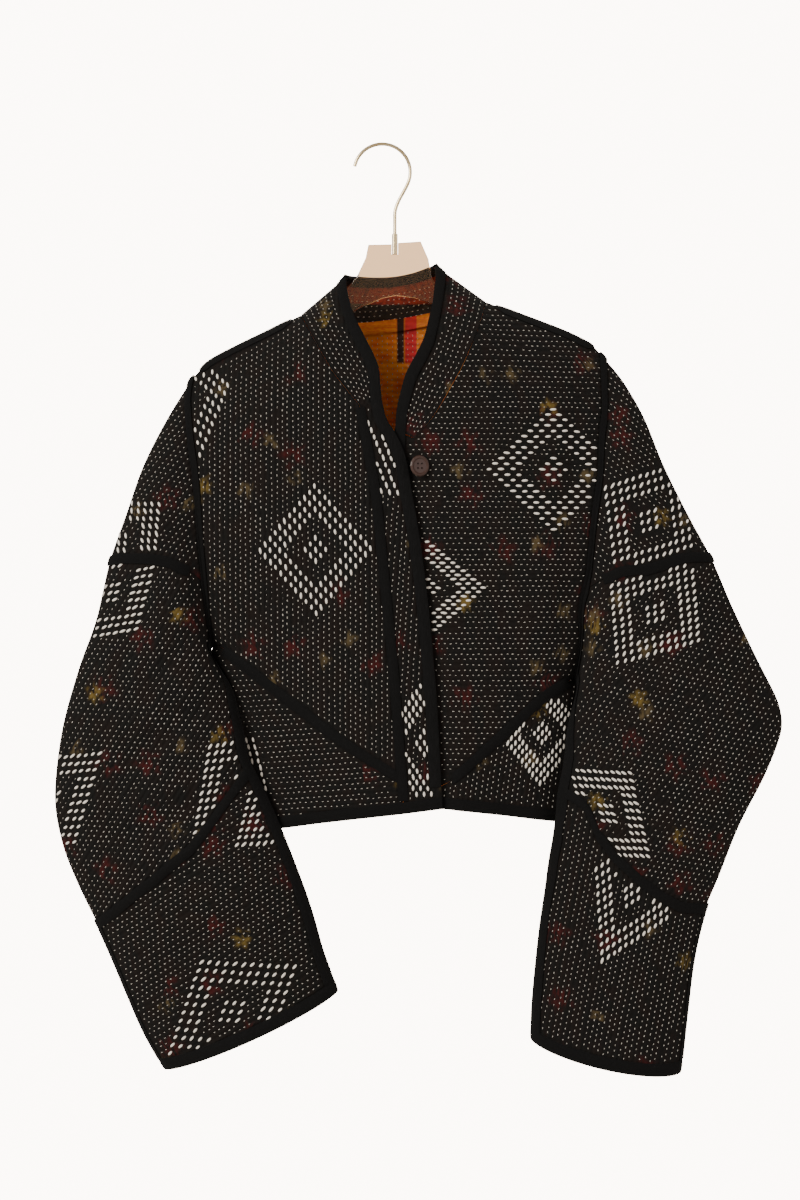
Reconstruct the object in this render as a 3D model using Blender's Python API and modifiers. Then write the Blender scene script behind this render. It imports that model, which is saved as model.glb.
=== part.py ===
"""A cropped quilted jacket hanging on a clear hanger, at its real size.

X runs to the viewer's right, the front faces -Y and Z is up. The origin is the highest point
inside the hook's crook, where the hook rests on a peg. Tables and sizes are in millimetres.
Left and right are the viewer's.
"""

import math

import bmesh
import bpy
import numpy as np

METRES = 0.001

# Cloth and bindings
CLOTH = 2.0
TAPE = 0.9
LIFT = 0.5
SEAM = 0.3
ARMHOLE_GAP = 0.6
TAPE_WIDTH = 9.0
EDGE_WIDTH = 10.5
HEM_WIDTH = 10.5
CUFF_WIDTH = 11.5
DIAGONAL_REACH = 5.4
COLLAR_TAPE = 7.0
COLLAR_LIFT = 1.0
PIT_TURN = 0.8
COLLAR_COLUMNS = (0.012, 0.3, 0.6, 0.82, 1.0)
TAPE_GAP = 1.0
FOLD = 1.0

# The body's hollow form
RIDGE_REACH_NECK = 40.0
RIDGE_REACH_TIP = 105.0
NECK_HALF_WIDTH = 84.0
NECK_MIDDLE = 10.0
LENS = 0.6
ARMHOLE_DEPTH = {"front": 24.0, "back": 26.0}
WRAP = 4.6
WRAP_ROLL = 20.0

# The hanger
PLATE_THICK = 5.0
PLATE_UNDER_RIDGE = 4.0
ARM_HEIGHT = 21.0
WIRE_RADIUS = 1.6
CROOK_RADIUS = 25.5
STEM_X = 11.5
FERRULE_RADIUS = 2.6
FERRULE_BORE = 1.9
FERRULE_TOP = -80.0
FERRULE_FOOT = -98.5
FERRULE_FLOOR = 1.5

# The button
BUTTON_RADIUS = 9.6
BUTTON_AT = (33.0, -292.5)
BUTTON_THICK = 3.0
BUTTON_TURN = math.radians(28)
BUTTON_HOLE = 0.9
BUTTON_HOLE_RING = 2.0


def table(columns, rows):
    """Named columns of numbers."""
    return dict(zip(columns.split(), np.array(rows, float).T))


def pairs(rows, first="x", second="z"):
    return np.column_stack([rows[first], rows[second]])


# Shoulder ridge from the left armhole over the neck to the right armhole. Between the two neck
# points it is only a guide for the depth of the neck.
RIDGE = table(
    "x z",
    [
        (-173, -212),
        (-157, -196),
        (-133, -183),
        (-104, -169),
        (-74, -154),
        (-40, -138),
        (10, -121),
        (60, -129),
        (94.5, -142),
        (132, -156),
        (166, -169),
        (190, -181),
        (200, -191),
    ],
)
NECK_LEFT = (-74.0, -154.0)
NECK_RIGHT = (94.5, -142.0)

# The two edges of the body from the shoulder tip down the armhole to the armpit, then down the
# side to the hem.
LEFT_EDGE = table(
    "x z",
    [
        (-173, -212),
        (-176, -232),
        (-173, -268),
        (-168, -304),
        (-163, -373),
        (-156, -440),
        (-153, -453),
        (-152, -460),
        (-150, -468),
        (-144, -482),
        (-138, -496),
        (-133, -514),
        (-128.5, -532),
        (-125, -553),
        (-123, -575),
        (-122, -621),
    ],
)
RIGHT_EDGE = table(
    "x z",
    [
        (200, -191),
        (201, -242),
        (198, -264),
        (197, -299),
        (191, -341),
        (187, -387),
        (180, -416),
        (180, -452),
        (175, -484),
        (174.5, -491),
        (173.5, -503),
        (172, -517),
        (170, -531),
        (168.5, -545),
        (167, -560),
        (165.5, -590),
        (165, -613),
    ],
)
LEFT_TIP, LEFT_PIT = -212.0, -453.0
RIGHT_TIP, RIGHT_PIT = -191.0, -484.0

# Depth of the body in front of and behind the hanger's plane, at its middle.
BODY = table(
    "z front back",
    [
        (-110, 28, 36),
        (-170, 31, 41),
        (-240, 34, 42),
        (-400, 36, 42),
        (-620, 38, 38),
    ],
)

# Seam lines on the fronts and back.
COLLAR_SEAM_LEFT = table(
    "x z", [(-74, -154), (-63, -175), (-51, -196), (-44, -208), (-31.5, -224), (-20, -238)]
)
COLLAR_SEAM_RIGHT = table(
    "x z",
    [(94.5, -142), (88, -165), (79, -187), (72, -203), (61, -223), (48, -245), (30, -268)],
)
BACK_NECK = table(
    "x z", [(-74, -154), (-50, -158), (-22, -160), (3, -158), (25, -155), (60, -148), (94.5, -142)]
)
PLACKET_SEAM = table(
    "x z",
    [
        (-20, -238),
        (-16, -259),
        (-10, -292),
        (-5, -322),
        (4, -412),
        (11, -484),
        (16.5, -556),
        (18, -573),
        (19.5, -603.5),
    ],
)
FRONT_EDGE = table(
    "x z",
    [
        (0, -233),
        (4, -250),
        (11, -261),
        (18, -275),
        (23, -292),
        (27, -317),
        (34, -358),
        (41, -412),
        (49, -502),
        (54, -599),
    ],
)
UNDER_EDGE = table(
    "x z",
    [(12, -262), (9, -286), (10, -322), (14, -412), (21, -502), (26.4, -590), (27, -598)],
)
DIAGONAL_LEFT = table(
    "x z", [(-153, -453), (-143, -456), (-83, -502), (-33, -540), (18, -573)]
)
DIAGONAL_RIGHT = table(
    "x z", [(175, -484), (165, -487), (142, -501), (106, -534), (61, -574), (26.4, -590)]
)
HEM_FRONT_LEFT = table(
    "x z", [(-122, -621), (-89, -617), (-38, -610), (19.5, -603.5), (54, -599)]
)
HEM_FRONT_RIGHT = table("x z", [(27, -598), (57, -599.5), (106, -605), (150, -611), (165, -613)])
HEM_BACK = table("x z", [(-122, -621), (-60, -610), (26, -603), (110, -606), (165, -613)])

# The collar's free edge in space, with the row of each corner named below.
COLLAR_LEFT = table(
    "x y z",
    [
        (0, -33.5, -233),
        (-1.4, -33, -219),
        (-3.6, -32, -201),
        (-15.5, -28, -176),
        (-23, -23, -161),
        (-28, -17, -147),
        (-32, -9, -131),
        (-33, 0, -119),
    ],
)
COLLAR_BACK = table(
    "x y z",
    [
        (-33, 0, -119),
        (-27, 19, -118),
        (-10, 33, -118),
        (10, 38, -117),
        (28, 33, -114),
        (43, 19, -110),
        (48.6, 0, -109),
    ],
)
COLLAR_RIGHT = table(
    "x y z",
    [
        (48.6, 0, -109),
        (48.5, -6, -120),
        (47, -12, -133),
        (45, -17, -147),
        (41.7, -22, -161),
        (38, -26, -176),
        (31, -29, -191),
        (22, -30.5, -208),
        (17, -31, -225),
        (13.5, -30.5, -241),
        (12, -30, -259),
    ],
)

# Soft troughs in the cloth, from one end to the other.
FRONT_TROUGHS = table(
    "x0 z0 x1 z1 half deep",
    [
        (181, -215, 172, -300, 9, 5.0),
        (172, -300, 166, -430, 10, 3.0),
        (-150, -230, -128, -330, 14, 2.5),
        (-120, -430, -70, -380, 18, 2.0),
        (120, -440, 90, -370, 18, 2.0),
        (-70, -560, -60, -615, 15, 2.5),
        (110, -560, 118, -608, 15, 2.5),
    ],
)
BACK_TROUGHS = table(
    "x0 z0 x1 z1 half deep",
    [
        (-140, -240, -120, -340, 14, 3.0),
        (165, -225, 150, -330, 14, 3.5),
        (10, -200, 14, -380, 20, 2.0),
        (-60, -480, -66, -612, 17, 4.0),
        (80, -500, 90, -600, 17, 4.0),
        (20, -520, 18, -602, 15, 2.5),
    ],
)
LEFT_SLEEVE_TROUGHS = table(
    "x0 z0 x1 z1 half deep",
    [
        (-170, -440, -215, -500, 12, 2.5),
        (-150, -500, -225, -560, 13, 3.0),
        (-140, -585, -235, -625, 12, 2.5),
        (-215, -400, -235, -500, 14, 2.0),
    ],
)
RIGHT_SLEEVE_TROUGHS = table(
    "x0 z0 x1 z1 half deep",
    [
        (200, -440, 250, -500, 12, 2.5),
        (190, -520, 290, -560, 13, 3.0),
        (195, -600, 285, -600, 12, 2.5),
        (230, -330, 270, -440, 14, 2.0),
    ],
)

# Each sleeve is a flattened tube. A row is one ring of it, from the outer edge to the inner
# (underarm) edge. The first ring is the armhole and the last the cuff. Front and back are its
# depths, forward is how far the ring lies in front of the hanger's plane, and sag is how far the
# front of the ring drops below its back.
RING = "outer_x outer_z inner_x inner_z front back forward sag"
LEFT_SLEEVE = table(
    RING,
    [
        (-173, -212, -153, -453, 24, 26, 0, 0),
        (-196, -251, -156, -457, 24, 25, 7, 0),
        (-216, -292, -153, -467, 24, 24, 12, 0),
        (-231, -336, -143, -481, 23, 22, 16, 0),
        (-245, -377, -135, -495, 23, 20, 19, 0),
        (-257, -430, -130, -513, 22, 18, 22, 0),
        (-272, -473, -125, -532, 22, 17, 25, 0),
        (-287, -529, -121, -553, 21, 16, 28, 0),
        (-293, -588, -108, -579, 21, 15, 31, 0),
        (-286, -630, -93, -612, 20, 15, 33, 0),
        (-272, -666, -80, -644, 20, 15, 34, 0),
        (-253, -705, -68, -676, 19, 15, 34, 1),
        (-240, -734, -61, -698, 19, 15, 34, 2),
        (-227, -765, -54, -723, 18, 15, 34, 4),
        (-212, -799, -47, -743, 18, 15, 34, 6),
        (-194, -831, -40, -762, 18, 15, 34, 8),
    ],
)
RIGHT_SLEEVE = table(
    RING,
    [
        (200, -191, 175, -484, 24, 26, 0, 0),
        (218, -214, 177.5, -491, 24, 25, 6, 0),
        (237, -248, 175, -503, 24, 24, 11, 0),
        (254, -291, 171, -517, 23, 22, 15, 0),
        (277, -338, 168, -531, 23, 20, 18, 0),
        (296, -374, 166, -545, 22, 18, 22, 0),
        (315, -419, 164, -560, 22, 17, 25, 0),
        (337, -466, 161, -574, 21, 16, 28, 0),
        (355, -503, 158, -589, 21, 15, 30, 0),
        (358, -529, 157, -603, 20, 15, 31, 0),
        (344, -567, 154, -625, 20, 15, 32, 0),
        (320, -614, 150, -648, 20, 15, 32, 0),
        (302, -659, 147, -671, 19, 15, 32, 1),
        (289, -691, 142, -705, 19, 15, 32, 3),
        (279, -732, 138, -741, 18, 15, 32, 5),
        (273, -779, 135, -775, 18, 15, 32, 8),
        (267, -834, 134, -805, 18, 15, 32, 11),
    ],
)

# Seams across the sleeves: how far along the rings each lies, at each share of the way from the
# outer edge to the inner one.
LEFT_CROSS = table(
    "across along", [(0, 4.0), (0.17, 3.4), (0.35, 2.7), (0.55, 1.85), (0.68, 0.9), (0.76, 0.0)]
)
RIGHT_CROSS = table(
    "across along", [(0, 5.0), (0.12, 4.4), (0.34, 3.5), (0.56, 2.1), (0.66, 1.0), (0.72, 0.0)]
)
LEFT_LOWER = table("across along", [(0, 10.9), (0.35, 10.1), (0.58, 9.4), (0.86, 8.1), (1, 7.4)])
RIGHT_LOWER = table(
    "across along",
    [
        (0, 12.9),
        (0.18, 12.7),
        (0.34, 12.3),
        (0.5, 11.8),
        (0.65, 11.2),
        (0.79, 10.3),
        (0.9, 8.8),
        (1, 7.5),
    ],
)

# The hanger plate's left and right outlines below its top edge, and the arch of its lower edge.
PLATE_LEFT = table("x z", [(-12.5, -90), (-15, -102), (-22, -117), (-28, -125), (-42, -137), (-62, -152)])
PLATE_RIGHT = table("x z", [(35, -87), (42, -103), (44, -115), (46, -122), (58, -132), (80, -141)])
PLATE_ARCH = table(
    "x z", [(-60, -174), (-36, -157), (-18, -146), (0, -138.5), (12, -136), (30, -138), (46, -144), (72, -156)]
)
PLATE_ENDS = (-132.0, 164.0)


def dense(points, steps=10):
    """A smooth curve through the points, as a dense list of points."""
    points = np.asarray(points, float)
    spans = np.diff(points, axis=0)
    lengths = np.linalg.norm(spans, axis=1)
    before = np.concatenate([lengths[:1], lengths])
    after = np.concatenate([lengths, lengths[-1:]])
    runs = np.gradient(points, axis=0)
    runs /= np.linalg.norm(runs, axis=1)[:, None]
    runs *= np.minimum(before, after)[:, None]
    t = np.linspace(0, 1, steps, endpoint=False)[:, None]
    pieces = []
    for i, span in enumerate(spans):
        over = t * t * (3 - 2 * t)
        leave = t * (1 - t) ** 2
        arrive = t * t * (t - 1)
        pieces.append(points[i] + over * span + leave * runs[i] + arrive * runs[i + 1])
    return np.vstack(pieces + [points[-1:]])


def at_share(line, share):
    """Points at shares of a line's length."""
    steps = np.linalg.norm(np.diff(line, axis=0), axis=1)
    length = np.concatenate([[0], np.cumsum(steps)]) / steps.sum()
    return np.column_stack([np.interp(share, length, column) for column in line.T])


def ease(value):
    value = np.clip(value, 0, 1)
    return value * value * (3 - 2 * value)


def lens(across):
    """Depth of a flattened tube at a share of the way across it."""
    return np.clip(4 * across * (1 - across), 0, 1) ** LENS


def rounded(count, start=0.0, end=1.0):
    """Shares from start to end, closer together near 0 and 1."""
    angles = np.linspace(math.acos(1 - 2 * start), math.acos(1 - 2 * end), count)
    return (1 - np.cos(angles)) / 2


def troughs(rows, x, z):
    """How far the troughs pull the cloth in at a point."""
    total = np.zeros(np.shape(x))
    for x0, z0, x1, z1, half, deep in zip(*rows.values()):
        run = np.array([x1 - x0, z1 - z0])
        along = ((x - x0) * run[0] + (z - z0) * run[1]) / (run @ run)
        along = np.clip(along, 0, 1)
        away = np.hypot(x - x0 - along * run[0], z - z0 - along * run[1])
        total = total + deep * np.exp(-((away / half) ** 2))
    return total


left_line = dense(pairs(LEFT_EDGE))
right_line = dense(pairs(RIGHT_EDGE))
ridge_line = dense(pairs(RIDGE))
front_edge_line = dense(pairs(FRONT_EDGE))


def edge_x(line, z):
    return np.interp(-z, -line[:, 1], line[:, 0])


def ridge_z(x):
    return np.interp(x, ridge_line[:, 0], ridge_line[:, 1])


def body_depth(x, z, face):
    """How far the body's cloth lies from the hanger's plane."""
    left = edge_x(left_line, z)
    right = edge_x(right_line, z)
    across = (2 * x - left - right) / (right - left)
    tip = np.where(across < 0, LEFT_TIP, RIGHT_TIP)
    pit = np.where(across < 0, LEFT_PIT, RIGHT_PIT)
    near_edge = np.clip(np.abs(across), 0, 1)
    beyond_neck = (np.abs(x - NECK_MIDDLE) - NECK_HALF_WIDTH * 0.6) / NECK_HALF_WIDTH
    reach = RIDGE_REACH_NECK + (RIDGE_REACH_TIP - RIDGE_REACH_NECK) * ease(beyond_neck)
    fall = np.clip((ridge_z(x) - z) / reach, 0, 1)
    over = np.sqrt(1 - (1 - fall) ** 2)
    below = ease((pit + 30 - z) / 80)
    full = (1 - near_edge ** (7 - 4.3 * below)) ** (1 - 0.52 * below)
    side = ARMHOLE_DEPTH[face] * lens(np.clip((tip - z) / (tip - pit), 0, 1))
    middle = np.interp(-z, -BODY["z"], BODY[face]) * over
    rows = FRONT_TROUGHS if face == "front" else BACK_TROUGHS
    depth = side + (middle - side) * full - troughs(rows, x, z) * full * over
    return np.maximum(depth, SEAM / 2)


def front(x, z):
    return np.stack([x, -body_depth(x, z, "front"), z], axis=-1)


def back(x, z):
    return np.stack([x, body_depth(x, z, "back"), z], axis=-1)


def front_under(x, z):
    """The right front, which rolls in behind the left front's edge."""
    points = front(x, z)
    roll = ease((edge_x(front_edge_line, z) + WRAP_ROLL - x) / WRAP_ROLL)
    points[..., 1] += WRAP * roll
    return points


class Sleeve:
    """One sleeve's surface. Across is 0 at the outer edge and 1 at the inner one, and is negative
    on the back. Along counts the rings."""

    def __init__(self, rows, armhole, tip, pit, pulls):
        self.columns = dense(np.column_stack(list(rows.values())))
        self.last = len(rows["outer_x"]) - 1
        self.armhole = armhole
        self.tip = tip
        self.pit = pit
        self.pulls = pulls
        middle_x = np.mean(rows["outer_x"] + rows["inner_x"]) / 2
        self.inside = (middle_x, -18.0, np.mean(rows["outer_z"]))

    def point(self, along, across):
        along, across = np.broadcast_arrays(np.asarray(along, float), np.asarray(across, float))
        ring = np.linspace(0, self.last, len(self.columns))
        outer_x, outer_z, inner_x, inner_z, fore, aft, forward, sag = (
            np.interp(along, ring, column) for column in self.columns.T
        )
        share = np.abs(across)
        x = outer_x + (inner_x - outer_x) * share
        z = outer_z + (inner_z - outer_z) * share
        start = self.columns[0]
        hole_z = self.tip + (self.pit - self.tip) * share
        bow = edge_x(self.armhole, hole_z) - (start[0] + (start[2] - start[0]) * share)
        x = x + bow * np.clip(1 - along / 2, 0, 1) ** 2
        is_front = across >= 0
        depth = np.where(is_front, fore, aft) * lens(share)
        fade = ease(along / 2) * lens(share)
        depth = np.maximum(depth - troughs(self.pulls, x, z) * fade, SEAM / 2)
        y = -forward + np.where(is_front, -depth, depth)
        z = z - np.where(is_front, sag, 0) * lens(share)
        return np.stack([x, y, z], axis=-1)

    def level(self, along):
        """Where the front of a ring meets its back."""
        ring = np.linspace(0, self.last, len(self.columns))
        return -np.interp(along, ring, self.columns[:, 6])

    def step(self, along, across, length):
        """The change in along that moves a point by a length."""
        small = 0.02
        moved = self.point(along + small, across) - self.point(along - small, across)
        return length / (np.linalg.norm(moved, axis=-1) / (2 * small))


left_sleeve = Sleeve(LEFT_SLEEVE, left_line, LEFT_TIP, LEFT_PIT, LEFT_SLEEVE_TROUGHS)
right_sleeve = Sleeve(RIGHT_SLEEVE, right_line, RIGHT_TIP, RIGHT_PIT, RIGHT_SLEEVE_TROUGHS)
BODY_INSIDE = (20.0, 0.0, -400.0)
COLLAR_INSIDE = (10.0, -2.0, -190.0)

panels = {}
collection = bpy.data.collections.new("Quilted jacket on a hanger")
cutters = bpy.data.collections.new("Cutters")


def clear_scene():
    for obj in list(bpy.data.objects):
        bpy.data.objects.remove(obj)
    bpy.context.scene.collection.children.link(collection)
    bpy.context.scene.collection.children.link(cutters)


def material(name, colour, roughness, metallic=0.0):
    made = bpy.data.materials.get(name)
    if made is None:
        made = bpy.data.materials.new(name)
        made.use_nodes = True
        made.diffuse_color = (*colour, 1)
        shader = made.node_tree.nodes["Principled BSDF"]
        shader.inputs["Base Color"].default_value = (*colour, 1)
        shader.inputs["Roughness"].default_value = roughness
        shader.inputs["Metallic"].default_value = metallic
    return made


def quilted_cloth():
    return material("quilted cloth", (0.022, 0.019, 0.018), 0.9)


def binding():
    return material("black binding", (0.012, 0.013, 0.014), 0.85)


def add_object(name, data, finish, group=None):
    obj = bpy.data.objects.new(name, data)
    (group or collection).objects.link(obj)
    if finish is not None:
        data.materials.append(finish)
    return obj


def grid_normals(grid, inside, closed=False):
    """Unit normals of a grid of points, away from the inside point."""
    rows = np.concatenate([grid[-1:], grid, grid[:1]]) if closed else grid
    down = np.gradient(rows, axis=0)
    across = np.gradient(rows, axis=1)
    normals = np.cross(down, across)
    normals = normals[1:-1] if closed else normals
    normals /= np.linalg.norm(normals, axis=-1, keepdims=True)
    facing = (normals * (grid - np.array(inside))).sum()
    return normals * np.sign(facing)


def sheet(name, outer, inner, finish, closed=False):
    """A closed wall between two grids of points."""
    rows, columns = outer.shape[:2]
    turns = rows if closed else rows - 1
    points = np.concatenate([outer.reshape(-1, 3), inner.reshape(-1, 3)]) * METRES
    other = rows * columns
    faces = []
    for i in range(turns):
        here, after = i * columns, (i + 1) % rows * columns
        for j in range(columns - 1):
            a, b, c, d = here + j, after + j, after + j + 1, here + j + 1
            faces.append((a, b, c, d))
            faces.append((other + d, other + c, other + b, other + a))
        for j in (0, columns - 1):
            ends = (here + j, after + j, other + after + j, other + here + j)
            faces.append(ends[::-1] if j == 0 else ends)
    if not closed:
        for row in (0, (rows - 1) * columns):
            for j in range(columns - 1):
                ends = (row + j, row + j + 1, other + row + j + 1, other + row + j)
                faces.append(ends if row == 0 else ends[::-1])
    data = bpy.data.meshes.new(name)
    data.from_pydata(points.tolist(), [], faces)
    mesh = bmesh.new()
    mesh.from_mesh(data)
    bmesh.ops.recalc_face_normals(mesh, faces=mesh.faces)
    mesh.to_mesh(data)
    mesh.free()
    return add_object(name, data, finish)


def walk(points, length):
    """The point at a length along a run of points."""
    steps = np.linalg.norm(np.diff(points, axis=0), axis=1)
    covered = np.concatenate([[0], np.cumsum(steps)])
    return np.array([np.interp(length, covered, column) for column in points.T])


def cloth(name, points, normals, level, seams=()):
    """A panel. Its wall grows in from its points and stays on its side of the level, where the
    front meets the back. Seams give the wall's direction at some of the points."""
    panels[name] = points
    side = np.where(points[..., 1] < level, -1, 1)
    normals = normals.copy()
    normals[..., 1][np.abs(points[..., 1] - level) < FOLD] = 0
    for place, direction in seams:
        normals[place] = direction
    normals /= np.linalg.norm(normals, axis=-1, keepdims=True)
    inner = points - normals * CLOTH
    inner[..., 1] = level + side * np.maximum(side * (inner[..., 1] - level), SEAM / 2)
    sheet(name, points, inner, quilted_cloth())


def tape(name, grid, inside, closed=False, lift=LIFT):
    """A binding laid on a panel's points, moved out."""
    normals = grid_normals(grid, inside, closed)
    sheet(name, grid + normals * (lift + TAPE), grid + normals * lift, binding(), closed)


def armhole_directions(sleeve, across, away):
    """Unit vectors square to an armhole seam. Towards the armpit they turn to away, which is the
    direction of x that the piece's own wall must leave."""
    near = np.sign(across) * np.clip(np.abs(across), 0.004, 0.996)
    run = sleeve.point(0.0, near + 0.002) - sleeve.point(0.0, near - 0.002)
    out = np.cross(run, (1.0, 0.0, 0.0))
    out /= np.linalg.norm(out, axis=-1, keepdims=True)
    centre = sleeve.point(0.0, 0.5)
    centre[1] = 0
    out *= np.sign((out * (sleeve.point(0.0, near) - centre)).sum())
    turn = np.clip((np.abs(across) - PIT_TURN) / (1 - PIT_TURN), 0, 1)[:, None] * math.pi / 2
    return out * np.cos(turn) + np.array([away, 0.0, 0.0]) * np.sin(turn)


def body_directions(x, z, face):
    """The outward directions of the body's cloth."""
    small = 0.6
    slope_x = (face(x + small, z)[..., 1] - face(x - small, z)[..., 1]) / (2 * small)
    slope_z = (face(x, z + small)[..., 1] - face(x, z - small)[..., 1]) / (2 * small)
    out = 1.0 if face is back else -1.0
    return np.stack([-out * slope_x, np.full(np.shape(x), out), -out * slope_z], axis=-1)


def body_panel(name, x, z, face, armholes=(), seam=None):
    """A body panel. A seam gives the row that it shares with the next panel, and its points."""
    points = face(x, z)
    normals = body_directions(x, z, face)
    out = 1 if face is back else -1
    if seam is not None:
        row, line = seam
        normals[:, row] = body_directions(line[:, 0], line[:, 1], face)
    seams = []
    for column, side in armholes:
        shares = armhole_shares(side)
        sleeve = left_sleeve if side == "left" else right_sleeve
        across = np.maximum(shares, 1e-6) * -out
        away = -1.0 if side == "left" else 1.0
        directions = armhole_directions(sleeve, across, away)
        if points.shape[1] > len(shares) - 1:
            seams.append(((column, slice(0, len(shares))), directions))
        else:
            seams.append(((column, 0), directions[-1]))
    cloth(name, points, normals, np.zeros(x.shape), seams)


def sleeve_panel(name, sleeve, along, across, at_armhole=None):
    points = sleeve.point(along, across)
    small = 0.02
    down = sleeve.point(along + small, across) - sleeve.point(along - small, across)
    near = np.sign(across) * np.clip(np.abs(across), 0.004, 0.996)
    around = sleeve.point(along, near + 0.002) - sleeve.point(along, near - 0.002)
    normals = np.cross(down, around)
    normals /= np.linalg.norm(normals, axis=-1, keepdims=True)
    middle = sleeve.point(along, 0.5)
    middle[..., 1] = sleeve.level(along)
    normals *= np.sign((normals * (points - middle)).sum())
    seams = []
    if at_armhole is not None:
        away = 1.0 if sleeve is left_sleeve else -1.0
        seams.append(((at_armhole, 0), armhole_directions(sleeve, across[at_armhole, 0], away)))
    cloth(name, points, normals, sleeve.level(along), seams)


def patch(top, bottom, left, right):
    """A grid of (x, z) points filling four lines of points: top and bottom run left to right,
    left and right run downwards."""
    left, right = left.copy(), right.copy()
    left[0], right[0], left[-1], right[-1] = top[0], top[-1], bottom[0], bottom[-1]
    u = shares_of(top)[:, None, None]
    v = shares_of((left + right) / 2)[None, :, None]
    blend = (1 - v) * top[:, None] + v * bottom[:, None] + (1 - u) * left[None] + u * right[None]
    top_corners = (1 - v) * ((1 - u) * top[0] + u * top[-1])
    foot_corners = v * ((1 - u) * bottom[0] + u * bottom[-1])
    grid = blend - top_corners - foot_corners
    return grid[..., 0], grid[..., 1]


def shares_of(line):
    """How far along a line each of its points is."""
    steps = np.linalg.norm(np.diff(line, axis=0), axis=1)
    return np.concatenate([[0], np.cumsum(steps)]) / steps.sum()


def cut(line, high, low):
    """The part of a falling line between two heights."""
    inner = line[(line[:, 1] < high) & (line[:, 1] > low)]
    ends = [(edge_x(line, z), z) for z in (high, low)]
    return np.vstack([ends[:1], inner, ends[1:]])


def near_start(count):
    """Shares from 0 to 1, closer together near 0."""
    return 1 - np.cos(np.linspace(0, math.pi / 2, count))


def shifted(line, dx=0.0, dz=0.0):
    return line + np.array([dx, dz])


collar_left_line = dense(pairs(COLLAR_SEAM_LEFT))
collar_right_line = dense(pairs(COLLAR_SEAM_RIGHT))
back_neck_line = dense(pairs(BACK_NECK))
placket_line = dense(pairs(PLACKET_SEAM))
under_line = dense(pairs(UNDER_EDGE))
diagonal_left_line = dense(pairs(DIAGONAL_LEFT))
diagonal_right_line = dense(pairs(DIAGONAL_RIGHT))[::-1]
hem_left_line = dense(pairs(HEM_FRONT_LEFT))
hem_right_line = dense(pairs(HEM_FRONT_RIGHT))
hem_back_line = dense(pairs(HEM_BACK))
shoulder_left = ridge_line[ridge_line[:, 0] <= NECK_LEFT[0]]
shoulder_right = ridge_line[ridge_line[:, 0] >= NECK_RIGHT[0]]
HEM_AT_PLACKET = -603.5
DIAGONAL_AT_PLACKET = -573.0
DIAGONAL_AT_EDGE = -590.0

# Shares down an armhole from the shoulder tip. The cap ends at CAP_END of the way.
CAP_END = {"left": 0.758, "right": 0.718}
CAP_SHARES = 8
LOW_SHARES = 6
CROSS_TRIM = 1
LOWER_TRIM = 2
UNDERARM_START = 3
UNDERARM_WIDTHS = (-2.0, 0, 3.5, 7.0)


def armhole_shares(side):
    end = CAP_END[side]
    cap = rounded(2 * CAP_SHARES - 1)[:CAP_SHARES] * 2 * end
    low = end + (1 - end) * (1 - near_start(LOW_SHARES)[::-1])
    return np.concatenate([cap, low[1:]])


def armhole_points(side):
    line, tip, pit = (left_line, LEFT_TIP, LEFT_PIT) if side == "left" else (right_line, RIGHT_TIP, RIGHT_PIT)
    z = tip + (pit - tip) * armhole_shares(side)
    return np.column_stack([edge_x(line, z), z])


SIDE_ROWS = 7
COLLAR_STEPS = 10
collar_shares = np.linspace(0, 1, COLLAR_STEPS + 1)
collar_left_seam = at_share(collar_left_line, collar_shares)
collar_right_seam = at_share(collar_right_line, collar_shares)
collar_back_seam = at_share(back_neck_line, collar_shares)
shoulder_left_points = at_share(shoulder_left, near_start(8))
shoulder_right_points = at_share(shoulder_right, 1 - near_start(8)[::-1])
front_left_top = np.vstack([shoulder_left_points, collar_left_seam[1:]])
under_top = at_share(np.vstack([under_line[:1], collar_right_seam[-1:]]), [0.0, 0.5])
front_right_top = np.vstack([under_top, collar_right_seam[::-1], shoulder_right_points[1:]])
back_top = np.vstack([shoulder_left_points, collar_back_seam[1:], shoulder_right_points[1:]])
diagonal_left_points = at_share(diagonal_left_line, shares_of(front_left_top))
diagonal_right_points = at_share(diagonal_right_line, shares_of(front_right_top))


def side_line(line, high, low, count=SIDE_ROWS):
    return at_share(cut(line, high, low), np.linspace(0, 1, count))


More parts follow.
